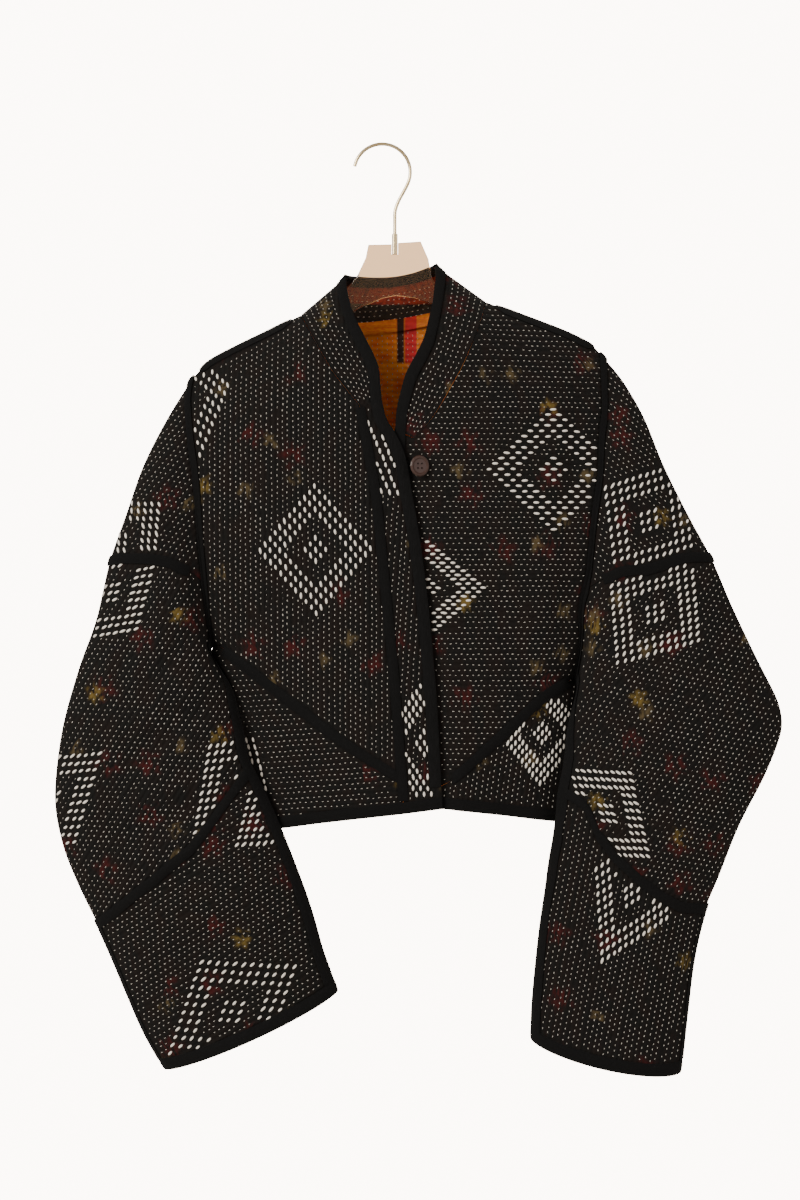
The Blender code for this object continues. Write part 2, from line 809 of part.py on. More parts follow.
def make_body():
    down = armhole_shares("left")
    seam = at_share(cut(placket_line, -238.0, DIAGONAL_AT_PLACKET), down)
    seam_low = side_line(placket_line, DIAGONAL_AT_PLACKET, HEM_AT_PLACKET)
    beside_seam = shifted(seam, dx=-SEAM / 2)
    left_top = front_left_top.copy()
    left_top[-1, 0] -= SEAM / 2
    diagonal = diagonal_left_points.copy()
    diagonal[-1, 0] -= SEAM / 2
    x, z = patch(left_top, shifted(diagonal, dz=SEAM / 2), armhole_points("left"), beside_seam)
    body_panel("front_left_upper", x, z, front, [(0, "left")], (-1, diagonal))

    hem = at_share(cut_across(hem_left_line, -122.0, placket_line[-1, 0]), shares_of(diagonal))
    side = side_line(left_line, LEFT_PIT, hem_left_line[0, 1])
    x, z = patch(shifted(diagonal, dz=-SEAM / 2), hem, side, shifted(seam_low, dx=-SEAM / 2))
    body_panel("front_left_side", x, z, front, [(0, "left")], (0, diagonal))

    band = np.linspace(0, 1, 4)
    top = at_share(np.vstack([seam[0], front_edge_line[0]]), band)
    seam_all = shifted(np.vstack([seam, seam_low[1:]]), dx=SEAM / 2)
    foot = at_share(cut_across(hem_left_line, placket_line[-1, 0], hem_left_line[-1, 0]), band)
    edge = at_share(front_edge_line, shares_of(seam_all))
    x, z = patch(top, foot, seam_all, edge)
    body_panel("placket", x, z, front)

    down = armhole_shares("right")
    under = at_share(cut(under_line, -262.0, DIAGONAL_AT_EDGE), down)
    foot = shifted(diagonal_right_points, dz=SEAM / 2)
    x, z = patch(front_right_top, foot, under, armhole_points("right"))
    body_panel("front_right_upper", x, z, front_under, [(-1, "right")], (-1, diagonal_right_points))

    hem = at_share(hem_right_line, shares_of(diagonal_right_points))
    under = side_line(under_line, DIAGONAL_AT_EDGE, -598.0)
    side = side_line(right_line, RIGHT_PIT, hem_right_line[-1, 1])
    x, z = patch(shifted(diagonal_right_points, dz=-SEAM / 2), hem, under, side)
    body_panel("front_right_side", x, z, front_under, [(-1, "right")], (0, diagonal_right_points))

    hem = at_share(hem_back_line, shares_of(back_top))
    left = np.vstack([armhole_points("left"), side_line(left_line, LEFT_PIT, hem_back_line[0, 1])[1:]])
    right = np.vstack([armhole_points("right"), side_line(right_line, RIGHT_PIT, hem_back_line[-1, 1])[1:]])
    left[1:-1, 0] += ARMHOLE_GAP
    right[1:-1, 0] -= ARMHOLE_GAP
    x, z = patch(back_top, hem, left, right)
    body_panel("back", x, z, back, [(0, "left"), (-1, "right")])


def cut_across(line, low, high):
    """The part of a line that runs to the right between two values of x."""
    inner = line[(line[:, 0] > low + 0.5) & (line[:, 0] < high - 0.5)]
    ends = [(x, np.interp(x, line[:, 0], line[:, 1])) for x in (low, high)]
    return np.vstack([ends[:1], inner, ends[1:]])


def collar_rows():
    """The collar's seam and edge, point by point: left front, back, right front."""
    seams, edges = [], []
    for line, face, edge in (
        (collar_left_seam[::-1], front, COLLAR_LEFT),
        (collar_back_seam, back, COLLAR_BACK),
        (collar_right_seam, front_under, COLLAR_RIGHT),
    ):
        start = 0 if not seams else 1
        seams.append(face(line[:, 0], line[:, 1])[start:])
        free = dense(np.column_stack(list(edge.values())))
        edges.append(at_share(free, collar_shares)[start:])
    return np.vstack(seams), np.vstack(edges)


def ruled(seams, edges, shares):
    """Points between the seam, at 0, and the edge, at 1."""
    shares = np.asarray(shares)[None, :, None]
    return seams[:, None] * (1 - shares) + edges[:, None] * shares


def edge_band(seams, edges, widths):
    """Points at widths below the collar's free edge."""
    lengths = np.linalg.norm(seams - edges, axis=1)[:, None, None]
    share = np.minimum(np.array(widths)[None, :, None] / lengths, 0.94)
    return edges[:, None] * (1 - share) + seams[:, None] * share


def over_edge(seams, edges, normals, width, gap):
    """Points of a binding folded over the collar's free edge, a gap off the cloth."""
    low = edge_band(seams, edges, [width])[:, 0]
    length = np.linalg.norm(seams - edges, axis=1)[:, None]
    share = width / length / (1 - COLLAR_COLUMNS[-2])
    at_edge = normals[:, -1]
    at_low = at_edge * (1 - share) + normals[:, -2] * share
    rise = np.array([0, 0, gap])
    columns = [
        low + at_low * gap,
        edges + at_edge * gap + rise,
        edges - at_edge * (CLOTH + gap) + rise,
        low - at_low * (CLOTH + gap),
    ]
    return np.stack(columns, axis=1)


def make_collar():
    seams, edges = collar_rows()
    grid = ruled(seams, edges, COLLAR_COLUMNS)
    grid[0] += (grid[1] - grid[0]) * 0.03
    grid[-1] += (grid[-2] - grid[-1]) * 0.03
    normals = grid_normals(grid, COLLAR_INSIDE)
    sheet("collar", grid, grid - normals * CLOTH, quilted_cloth())

    left, right = COLLAR_STEPS, 2 * COLLAR_STEPS
    side = beside(front_edge_line[::-1], EDGE_WIDTH, -1)
    band = front(side[..., 0], side[..., 1])
    hem_top = front_edge_line[-1, 1] + HEM_WIDTH + TAPE_GAP
    band = band[(band[:, 0, 2] > hem_top) & (band[:, -1, 2] > hem_top)][::6]
    climb = edge_band(seams[: left + 1], edges[: left + 1], [0.0, EDGE_WIDTH / 2, EDGE_WIDTH])
    tape("edge_tape_left", np.vstack([band, climb[1:]]), BODY_INSIDE, lift=0.7)

    side = beside(under_line[::-1], EDGE_WIDTH, 1)
    band = front_under(side[..., 0], side[..., 1])
    hem_top = under_line[-1, 1] + HEM_WIDTH + TAPE_GAP
    band = band[(band[:, 0, 2] > hem_top + 2) & (band[:, 0, 2] < -269)][::4]
    climb = edge_band(seams[right:], edges[right:], [0.0, EDGE_WIDTH / 2, EDGE_WIDTH])[::-1]
    tape("edge_tape_right", np.vstack([band, climb[1:]]), BODY_INSIDE, lift=1.1)

    inner, outer = (
        over_edge(seams, edges, normals, COLLAR_TAPE, gap)[left : right + 1] for gap in (COLLAR_LIFT, COLLAR_LIFT + TAPE)
    )
    for grid in (inner, outer):
        grid[0] += (grid[1] - grid[0]) * 0.2
        grid[-1] += (grid[-2] - grid[-1]) * 0.2
    sheet("collar_tape", outer, inner, binding())


def beside(line, width, side):
    """Points across a band beside a line of (x, z) points: on it and at its width."""
    run = np.gradient(line, axis=0)
    run /= np.linalg.norm(run, axis=1)[:, None]
    normal = np.column_stack([-run[:, 1], run[:, 0]])
    normal *= np.where(np.sign(normal[:, :1]) == side, 1, -1)
    across = np.array([0.0, 0.5, 1.0])[None, :, None] * width
    return line[:, None] + normal[:, None] * across


def astride(line, width):
    """Points across a band centred on a line of (x, z) points."""
    run = np.gradient(line, axis=0)
    run /= np.linalg.norm(run, axis=1)[:, None]
    normal = np.column_stack([-run[:, 1], run[:, 0]])
    across = np.array([-0.5, 0.0, 0.5])[None, :, None] * width
    return line[:, None] + normal[:, None] * across


def make_front_tapes():
    line = cut(placket_line, -240.0, HEM_AT_PLACKET + HEM_WIDTH + TAPE_GAP)
    grid = astride(at_share(line, np.linspace(0, 1, 18)), TAPE_WIDTH)
    tape("placket_tape", front(grid[..., 0], grid[..., 1]), BODY_INSIDE, lift=0.6)

    for name, first, last in (("left", 3, -1), ("right", 5, -2)):
        upper, lower = panels[f"front_{name}_upper"], panels[f"front_{name}_side"]
        rows = []
        for above, below in zip(upper[first:last], lower[first:last]):
            above = above[::-1]
            rows.append([walk(above, DIAGONAL_REACH), below[0], walk(below, DIAGONAL_REACH)])
        tape(f"diagonal_tape_{name}", np.array(rows), BODY_INSIDE, lift=0.6)


def hem_band(points, face):
    rise = np.array([0.0, 1.0]) * HEM_WIDTH
    x = np.repeat(points[:, :1], 2, axis=1)
    z = points[:, 1:] + rise
    return face(x, z)


def make_hem_tapes():
    left = at_share(cut_across(hem_left_line, -122.0, placket_line[-1, 0]), shares_of(diagonal_left_points))
    band = cut_across(hem_left_line, placket_line[-1, 0], hem_left_line[-1, 0])
    points = np.vstack([left, at_share(band, np.linspace(0, 1, 4))[1:]])
    tape("hem_tape_left", hem_band(points, front), BODY_INSIDE)
    points = at_share(hem_right_line, shares_of(diagonal_right_points))
    tape("hem_tape_right", hem_band(points, front_under), BODY_INSIDE)
    points = at_share(hem_back_line, shares_of(back_top))
    tape("hem_tape_back", hem_band(points, back), BODY_INSIDE)


def make_shoulder_tapes():
    drops = (0.4, 0.0, 0.4, 2.5, 6.5)
    for name, line in (("left", shoulder_left_points), ("right", shoulder_right_points[::-1])):
        start = (line[2] + line[3]) / 2
        end = line[-1] + (line[-2] - line[-1]) * 0.12
        points = np.vstack([start[None], line[3:-1], end[None]])
        columns = []
        for drop, face in zip(drops, (back, front, front, front, front)):
            columns.append(face(points[:, 0], points[:, 1] - drop))
        tape(f"shoulder_tape_{name}", np.stack(columns, axis=1), BODY_INSIDE, lift=0.8)


def sleeve_run(name, across):
    """The points of the cap or the elbow that leave the armhole at a share."""
    shares = armhole_shares(name)
    place = int(np.argmin(np.abs(shares - abs(across))))
    sign = 1 if across >= 0 else -1
    grid = panels[f"sleeve_{name}_cap"] if place < CAP_SHARES - 1 else panels[f"sleeve_{name}_elbow"]
    middle = len(grid) // 2
    return grid[middle + sign * place]


def make_armhole_tape(name, sleeve):
    """From the armpit's front over the shoulder tip to its back, half on the body."""
    shares = armhole_shares(name)
    upper = panels[f"front_{name}_upper"]
    fronts = upper if name == "left" else upper[::-1]
    backs = panels["back"] if name == "left" else panels["back"][::-1]
    rows = []
    reach = TAPE_WIDTH / 2
    last = len(shares) - 4
    for place, grid, sign in [(i, fronts, 1) for i in range(last, -1, -1)] + [
        (i, backs, -1) for i in range(1, last + 1)
    ]:
        seam = sleeve.point(0, sign * max(shares[place], 1e-6))
        on_body = walk(grid[:, place], reach)
        on_sleeve = walk(sleeve_run(name, sign * shares[place]), reach)
        rows.append([on_body, seam, on_sleeve])
    tape(f"armhole_tape_{name}", np.array(rows), BODY_INSIDE, lift=1.2)


def both_ways(half):
    """Shares from the back round the outer edge to the front."""
    return np.concatenate([-half[::-1], half[1:]])


def make_sleeve(name, sleeve, cross, lower):
    def cross_at(share):
        return np.interp(share, cross["across"], cross["along"])

    def lower_at(share):
        return np.interp(share, lower["across"], lower["along"])

    def rings(across, start, end, count):
        spans = np.linspace(0, 1, count)[None, :]
        along = start[:, None] * (1 - spans) + end[:, None] * spans
        return along, np.repeat(across[:, None], count, axis=1)

    shares = armhole_shares(name)
    across = both_ways(shares[:CAP_SHARES])
    seam = cross_at(np.abs(across))
    start = sleeve.step(0.1, across, ARMHOLE_GAP)
    end = seam - sleeve.step(np.maximum(seam, 0.1), across, SEAM / 2)
    end = np.maximum(end, start + 0.03)
    sleeve_panel(f"sleeve_{name}_cap", sleeve, *rings(across, start, end, 6), np.arange(len(across)))
    cap_foot = end + sleeve.step(end + 0.1, across, ARMHOLE_GAP)

    across = both_ways(shares)
    start = sleeve.step(0.1, across, ARMHOLE_GAP)
    low_count = len(shares) - CAP_SHARES
    start[low_count:-low_count] = cap_foot
    seam = lower_at(np.abs(across))
    end = seam - sleeve.step(seam, across, SEAM / 2)
    low = np.flatnonzero(np.abs(across) > shares[CAP_SHARES - 1] + 0.001)
    sleeve_panel(f"sleeve_{name}_elbow", sleeve, *rings(across, start, end, 11), low)

    for face, sign in (("front", 1), ("back", -1)):
        across = shares * sign
        across[0] = sign * 1e-6
        seam = lower_at(np.abs(across))
        start = seam + sleeve.step(seam, across, SEAM / 2)
        end = np.full(len(across), float(sleeve.last))
        sleeve_panel(f"sleeve_{name}_lower_{face}", sleeve, *rings(across, start, end, 7))

    make_armhole_tape(name, sleeve)
    make_sleeve_tapes(name, sleeve.inside)


def make_sleeve_tapes(name, inside):
    """Bindings laid on the meshes of the sleeve's panels."""
    cap, elbow = panels[f"sleeve_{name}_cap"], panels[f"sleeve_{name}_elbow"]
    low_front, low_back = panels[f"sleeve_{name}_lower_front"], panels[f"sleeve_{name}_lower_back"]
    lower = np.concatenate([low_back[::-1], low_front[1:]])
    half = TAPE_WIDTH / 2

    middle = len(cap) // 2
    extra = len(elbow) // 2 - middle
    rows = []
    for i in range(CROSS_TRIM, len(cap) - CROSS_TRIM):
        after, before = elbow[i + extra], cap[i][::-1]
        rows.append([walk(before, half), after[0], walk(after, half)])
    tape(f"cross_tape_{name}", np.array(rows), inside, lift=0.7)

    rows = []
    for i in range(LOWER_TRIM, len(elbow) - LOWER_TRIM):
        before, after = elbow[i][::-1], lower[i]
        rows.append([walk(before, half), after[0], walk(after, half)])
    tape(f"lower_tape_{name}", np.array(rows), inside, lift=0.7)

    rows = [[walk(run[::-1], CUFF_WIDTH), run[-1]] for run in lower]
    tape(f"cuff_tape_{name}", np.array(rows), inside, closed=True)

    def lengthwise(fronts, backs, widths):
        """Points across a band along an edge where the front's runs meet the back's."""
        rows = []
        for ring in range(fronts.shape[1]):
            row = [walk(backs[:, ring], -width) for width in widths if width < 0]
            rows.append(row + [walk(fronts[:, ring], width) for width in widths if width >= 0])
        return np.array(rows)

    trimmed_front, trimmed_back = trim_cuff(low_front), trim_cuff(low_back)
    rows = lengthwise(trimmed_front, trimmed_back, (-half, -half / 3, 0, half / 3, half))
    rows[0] = rows[0] * 0.5 + rows[1] * 0.5
    tape(f"outer_tape_{name}", rows, inside, lift=0.7)

    middle = len(elbow) // 2
    upper = lengthwise(elbow[middle:][::-1], elbow[: middle + 1], UNDERARM_WIDTHS)
    foot = lengthwise(trimmed_front[::-1], trimmed_back[::-1], UNDERARM_WIDTHS)
    tape(f"underarm_tape_{name}", np.vstack([upper[UNDERARM_START:-1], foot]), inside, lift=0.7)


def trim_cuff(grid):
    """A lower sleeve's runs, cut short above the cuff tape."""
    grid = grid.copy()
    for run in grid:
        run[-1] = walk(run[::-1], CUFF_WIDTH + TAPE_GAP)
    return grid


def wire_points():
    centre_z = WIRE_RADIUS - CROOK_RADIUS
    points = []
    for degrees in range(168, -36, -12):
        angle = math.radians(degrees)
        points.append((CROOK_RADIUS * math.cos(angle), 0, centre_z + CROOK_RADIUS * math.sin(angle)))
    last = np.array(points[-1])
    leave = math.radians(degrees)
    handle = last + 11 * np.array([math.sin(leave), 0, -math.cos(leave)])
    stem_top = np.array([STEM_X, 0, -63.0])
    for t in np.linspace(0, 1, 8)[1:]:
        before_stem = stem_top + np.array([0, 0, 10.0])
        curve = (1 - t) ** 3 * last + 3 * (1 - t) ** 2 * t * handle
        points.append(tuple(curve + 3 * (1 - t) * t * t * before_stem + t**3 * stem_top))
    points.append((STEM_X, 0, FERRULE_FOOT + FERRULE_FLOOR + SEAM))
    return points


def make_hook():
    data = bpy.data.curves.new("hook_wire", "CURVE")
    data.dimensions = "3D"
    data.bevel_depth = WIRE_RADIUS * METRES
    data.bevel_resolution = 2
    data.use_fill_caps = True
    points = wire_points()
    spline = data.splines.new("POLY")
    spline.points.add(len(points) - 1)
    for target, point in zip(spline.points, points):
        target.co = (*(np.array(point) * METRES), 1)
    add_object("hook_wire", data, material("brass", (0.78, 0.62, 0.34), 0.25, 1.0))


def turned(name, profile, finish, steps=20):
    """A turned piece. The profile's (radius, height) points run down its outer side."""
    mesh = bpy.data.meshes.new(name)
    points = [(radius * METRES, 0, height * METRES) for radius, height in profile]
    edges = [(i, i + 1) for i in range(len(points) - 1)]
    mesh.from_pydata(points, edges, [])
    obj = add_object(name, mesh, finish)
    screw = obj.modifiers.new("Turn", "SCREW")
    screw.steps = steps
    screw.render_steps = steps
    screw.use_merge_vertices = True
    screw.merge_threshold = 0.00001
    return obj


def make_ferrule():
    height = FERRULE_TOP - FERRULE_FOOT
    profile = [
        (FERRULE_BORE, FERRULE_FLOOR),
        (FERRULE_BORE, height),
        (FERRULE_RADIUS - 0.3, height),
        (FERRULE_RADIUS, height - 0.3),
        (FERRULE_RADIUS, 0.0),
        (0.0, 0.0),
    ]
    profile.insert(0, (0.0, FERRULE_FLOOR))
    obj = turned("ferrule", profile, material("brass", (0.78, 0.62, 0.34), 0.25, 1.0))
    obj.location = (STEM_X * METRES, 0, FERRULE_FOOT * METRES)


def plate_top(x):
    """The height of the arms' top edge, a clear distance under the shoulders."""
    slope = (ridge_z(x + 2) - ridge_z(x - 2)) / 4
    return ridge_z(x) - PLATE_UNDER_RIDGE * math.hypot(1, slope)


def plate_outline():
    """The hanger plate's outline, clockwise from the top of its left side."""
    notch = FERRULE_RADIUS + SEAM
    points = [tuple(point) for point in pairs(PLATE_LEFT)]
    points = points[::-1]
    left_x = np.linspace(PLATE_ENDS[0], PLATE_LEFT["x"][-1] - 12, 6)
    right_x = np.linspace(PLATE_RIGHT["x"][-1] + 12, PLATE_ENDS[1], 6)
    top_left = [(x, plate_top(x)) for x in left_x]
    top_right = [(x, plate_top(x)) for x in right_x]
    outline = top_left + points
    outline += [(STEM_X - notch, -89.6), (STEM_X - notch, FERRULE_FOOT - SEAM)]
    outline += [(STEM_X + notch, FERRULE_FOOT - SEAM), (STEM_X + notch, -88.3)]
    outline += [tuple(point) for point in pairs(PLATE_RIGHT)] + top_right
    outline += arm_end(PLATE_ENDS[1], 1)
    foot_right = [(x, plate_top(x) - ARM_HEIGHT) for x in right_x[::-1]]
    foot_left = [(x, plate_top(x) - ARM_HEIGHT) for x in left_x[::-1]]
    outline += foot_right + [tuple(point) for point in pairs(PLATE_ARCH)[::-1]] + foot_left
    outline += arm_end(PLATE_ENDS[0], -1)
    return outline


def arm_end(x, side):
    """Points round the blunt end of an arm, downwards on the right and upwards on the left."""
    middle = plate_top(x) - ARM_HEIGHT / 2
    points = []
    for degrees in (55, 20, -20, -55):
        angle = math.radians(degrees * side)
        points.append((x + side * 9 * math.cos(angle), middle + ARM_HEIGHT / 2 * 0.95 * math.sin(angle)))
    return points


def make_plate():
    data = bpy.data.curves.new("hanger_plate", "CURVE")
    data.dimensions = "2D"
    data.fill_mode = "BOTH"
    data.extrude = PLATE_THICK / 2 * METRES
    points = plate_outline()
    spline = data.splines.new("POLY")
    spline.points.add(len(points) - 1)
    for target, (x, z) in zip(spline.points, points):
        target.co = (x * METRES, z * METRES, 0, 1)
    spline.use_cyclic_u = True
    obj = add_object("hanger_plate", data, material("clear plate", (0.72, 0.55, 0.42), 0.1))
    obj.rotation_euler = (math.radians(90), 0, 0)


def make_button():
    edge = BUTTON_THICK
    profile = [
        (0.0, edge - 0.9),
        (BUTTON_RADIUS - 3.2, edge - 0.7),
        (BUTTON_RADIUS - 2.0, edge),
        (BUTTON_RADIUS - 0.8, edge - 0.2),
        (BUTTON_RADIUS, edge - 1.2),
        (BUTTON_RADIUS - 0.6, 0.5),
        (BUTTON_RADIUS - 2.5, 0.0),
        (0.0, 0.0),
    ]
    obj = turned("button", profile, material("brown button", (0.11, 0.055, 0.035), 0.45), steps=16)
    back_rim = BUTTON_RADIUS * math.sin(BUTTON_TURN)
    x, z = BUTTON_AT
    seat = front_under(np.array(x + 8.0), np.array(z))[1] - 0.4
    obj.rotation_euler = (math.radians(90), 0, BUTTON_TURN)
    obj.location = (x * METRES, (seat - back_rim) * METRES, z * METRES)
    for sx in (-1, 1):
        for sz in (-1, 1):
            bpy.ops.mesh.primitive_cylinder_add(vertices=8, radius=BUTTON_HOLE * METRES, depth=0.01)
            hole = bpy.context.active_object
            hole.name = "Button hole"
            for group in list(hole.users_collection):
                group.objects.unlink(hole)
            cutters.objects.link(hole)
            hole.parent = obj
            hole.location = (sx * BUTTON_HOLE_RING * METRES, sz * BUTTON_HOLE_RING * METRES, 0)
            hole.hide_render = True
            hole.display_type = "WIRE"
            bore = obj.modifiers.new("Hole", "BOOLEAN")
            bore.operation = "DIFFERENCE"
            bore.object = hole


def main():
    clear_scene()
    make_body()
    make_collar()
    make_front_tapes()
    make_hem_tapes()
    make_shoulder_tapes()
    make_sleeve("left", left_sleeve, LEFT_CROSS, LEFT_LOWER)
    make_sleeve("right", right_sleeve, RIGHT_CROSS, RIGHT_LOWER)
    make_plate()
    make_ferrule()
    make_hook()
    make_button()


main()
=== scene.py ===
"""The looks of the quilted jacket on a hanger: fine shells on its solids, running stitches, cloth
print, bindings, clear plate, brass hook and button. Tables and sizes are in millimetres."""

import math

import bmesh
import bpy
import numpy as np
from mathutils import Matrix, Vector
from mathutils.bvhtree import BVHTree


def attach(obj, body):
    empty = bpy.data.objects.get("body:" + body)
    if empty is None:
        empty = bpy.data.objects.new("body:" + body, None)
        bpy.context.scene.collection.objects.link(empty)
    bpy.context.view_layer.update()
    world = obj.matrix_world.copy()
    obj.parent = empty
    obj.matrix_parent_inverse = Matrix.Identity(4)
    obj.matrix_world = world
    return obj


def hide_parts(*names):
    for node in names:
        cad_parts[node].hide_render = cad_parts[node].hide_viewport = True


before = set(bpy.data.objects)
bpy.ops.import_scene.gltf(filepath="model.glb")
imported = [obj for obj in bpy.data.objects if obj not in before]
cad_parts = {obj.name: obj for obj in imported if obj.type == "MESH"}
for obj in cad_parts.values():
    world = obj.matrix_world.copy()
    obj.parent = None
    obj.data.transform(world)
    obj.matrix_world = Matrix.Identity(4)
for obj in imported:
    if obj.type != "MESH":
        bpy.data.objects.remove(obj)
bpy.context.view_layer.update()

METRES = 0.001

# Cloth and bindings
CLOTH = 2.0
TAPE = 0.9
LIFT = 0.5
SEAM = 0.3
ARMHOLE_GAP = 0.6
TAPE_WIDTH = 9.0
EDGE_WIDTH = 10.5
HEM_WIDTH = 10.5
CUFF_WIDTH = 11.5
DIAGONAL_REACH = 5.4
COLLAR_TAPE = 7.0
COLLAR_LIFT = 1.0
PIT_TURN = 0.8
COLLAR_COLUMNS = (0.012, 0.1, 0.2, 0.3, 0.4, 0.5, 0.6, 0.7, 0.78, 0.86, 0.93, 1.0)
TAPE_GAP = 1.0
FOLD = 1.0

# The body's hollow form
RIDGE_REACH_NECK = 40.0
RIDGE_REACH_TIP = 105.0
NECK_HALF_WIDTH = 84.0
NECK_MIDDLE = 10.0
LENS = 0.6
ARMHOLE_DEPTH = {"front": 24.0, "back": 26.0}
WRAP = 4.6
WRAP_ROLL = 20.0

# The hanger
PLATE_THICK = 5.0
PLATE_UNDER_RIDGE = 4.0
ARM_HEIGHT = 21.0
WIRE_RADIUS = 1.6
CROOK_RADIUS = 25.5
STEM_X = 11.5
FERRULE_RADIUS = 2.6
FERRULE_FOOT = -98.5
FERRULE_FLOOR = 1.5


def table(columns, rows):
    """Named columns of numbers."""
    return dict(zip(columns.split(), np.array(rows, float).T))


def pairs(rows, first="x", second="z"):
    return np.column_stack([rows[first], rows[second]])


# Shoulder ridge from the left armhole over the neck to the right armhole. Between the two neck
# points it is only a guide for the depth of the neck.
RIDGE = table("x z", [
    (-173, -212), (-157, -196), (-133, -183), (-104, -169), (-74, -154), (-40, -138), (10, -121),
    (60, -129), (94.5, -142), (132, -156), (166, -169), (190, -181), (200, -191),
])
NECK_LEFT = (-74.0, -154.0)
NECK_RIGHT = (94.5, -142.0)

# The two edges of the body from the shoulder tip down the armhole to the armpit, then down the
# side to the hem.
LEFT_EDGE = table("x z", [
    (-173, -212), (-176, -232), (-173, -268), (-168, -304), (-163, -373), (-156, -440),
    (-153, -453), (-156.5, -460), (-157, -468), (-150, -482), (-143, -496), (-133, -514),
    (-128.5, -532), (-125, -553), (-123, -575), (-122, -621),
])
RIGHT_EDGE = table("x z", [
    (200, -191), (201, -242), (198, -264), (197, -299), (191, -341), (187, -387), (180, -416),
    (180, -452), (175, -484), (179, -491), (178, -503), (175, -517), (170, -531), (168.5, -545),
    (167, -560), (165.5, -590), (165, -613),
])
LEFT_TIP, LEFT_PIT = -212.0, -453.0
RIGHT_TIP, RIGHT_PIT = -191.0, -484.0

# Depth of the body in front of and behind the hanger's plane, at its middle.
BODY = table("z front back", [
    (-110, 28, 36), (-170, 31, 41), (-240, 34, 42), (-400, 36, 42), (-620, 38, 38),
])

# Seam lines on the fronts and back.
COLLAR_SEAM_LEFT = table("x z", [
    (-74, -154), (-63, -175), (-51, -196), (-44, -208), (-31.5, -224), (-20, -238),
])
COLLAR_SEAM_RIGHT = table("x z", [
    (94.5, -142), (88, -165), (79, -187), (72, -203), (61, -223), (48, -245), (30, -268),
])
BACK_NECK = table("x z", [
    (-74, -154), (-50, -158), (-22, -160), (3, -158), (25, -155), (60, -148), (94.5, -142),
])
PLACKET_SEAM = table("x z", [
    (-20, -238), (-16, -259), (-10, -292), (-5, -322), (4, -412), (11, -484), (16.5, -556),
    (18, -573), (19.5, -603.5),
])
FRONT_EDGE = table("x z", [
    (0, -233), (4, -250), (11, -261), (18, -275), (23, -292), (27, -317), (34, -358), (41, -412),
    (49, -502), (54, -599),
])
UNDER_EDGE = table("x z", [
    (12, -262), (9, -286), (10, -322), (14, -412), (21, -502), (26.4, -590), (27, -598),
])
DIAGONAL_LEFT = table("x z", [(-153, -453), (-143, -456), (-83, -502), (-33, -540), (18, -573)])
DIAGONAL_RIGHT = table("x z", [
    (175, -484), (165, -487), (142, -501), (106, -534), (61, -574), (26.4, -590),
])
HEM_FRONT_LEFT = table("x z", [(-122, -621), (-89, -617), (-38, -610), (19.5, -603.5), (54, -599)])
HEM_FRONT_RIGHT = table("x z", [(27, -598), (57, -599.5), (106, -605), (150, -611), (165, -613)])
HEM_BACK = table("x z", [(-122, -621), (-60, -610), (26, -603), (110, -606), (165, -613)])

# The collar's free edge in space, with the row of each corner named below.
COLLAR_LEFT = table("x y z", [
    (0, -33.5, -233), (-1.4, -33, -219), (-3.6, -32, -201), (-15.5, -28, -176), (-23, -23, -161),
    (-28, -17, -147), (-32, -9, -131), (-33, 0, -119),
])
COLLAR_BACK = table("x y z", [
    (-33, 0, -119), (-27, 19, -118), (-10, 33, -118), (10, 38, -117), (28, 33, -114),
    (43, 19, -110), (48.6, 0, -109),
])
COLLAR_RIGHT = table("x y z", [
    (48.6, 0, -109), (48.5, -6, -120), (47, -12, -133), (45, -17, -147), (41.7, -22, -161),
    (38, -26, -176), (31, -29, -191), (22, -30.5, -208), (17, -31, -225), (13.5, -30.5, -241),
    (12, -30, -259),
])

# Soft troughs in the cloth, from one end to the other.
FRONT_TROUGHS = table("x0 z0 x1 z1 half deep", [
    (181, -215, 172, -300, 9, 5.0), (172, -300, 166, -430, 10, 3.0),
    (-150, -230, -128, -330, 14, 2.5), (-120, -430, -70, -380, 18, 2.0),
    (120, -440, 90, -370, 18, 2.0), (-70, -560, -60, -615, 15, 2.5),
    (110, -560, 118, -608, 15, 2.5), (150, -232, 133, -300, 8, 1.6),
    (-140, -300, -96, -352, 11, 1.5), (-146, -420, -104, -438, 8, 1.8),
    (-92, -470, -58, -408, 12, 1.4), (158, -446, 116, -462, 8, 1.7), (66, -330, 92, -282, 12, 1.3),
    (-26, -330, -16, -470, 9, -1.1), (60, -470, 70, -585, 13, -1.4),
    (-98, -540, -104, -612, 11, -1.5), (142, -520, 136, -605, 9, -1.3),
])
BACK_TROUGHS = table("x0 z0 x1 z1 half deep", [
    (-140, -240, -120, -340, 14, 3.0), (165, -225, 150, -330, 14, 3.5),
    (10, -200, 14, -380, 20, 2.0), (-60, -480, -66, -612, 17, 4.0), (80, -500, 90, -600, 17, 4.0),
    (20, -520, 18, -602, 15, 2.5), (-100, -260, -60, -330, 13, 1.6),
    (128, -250, 86, -320, 13, 1.5), (-146, -430, -92, -452, 9, 2.0),
    (168, -452, 118, -476, 9, 1.9), (-20, -440, -26, -600, 12, -1.5),
    (52, -460, 54, -598, 12, -1.6), (-98, -520, -104, -614, 11, -1.4),
])
LEFT_SLEEVE_TROUGHS = table("x0 z0 x1 z1 half deep", [
    (-170, -440, -215, -500, 12, 2.5), (-150, -500, -225, -560, 13, 3.0),
    (-140, -585, -235, -625, 12, 2.5), (-215, -400, -235, -500, 14, 2.0),
    (-150, -470, -188, -462, 7, 1.7), (-136, -528, -196, -518, 8, 1.9),
    (-118, -568, -206, -592, 8, -1.5), (-112, -612, -200, -672, 9, 1.9),
    (-168, -300, -196, -372, 9, 1.3), (-96, -680, -178, -726, 9, 1.4),
    (-250, -560, -262, -640, 10, -1.5),
])
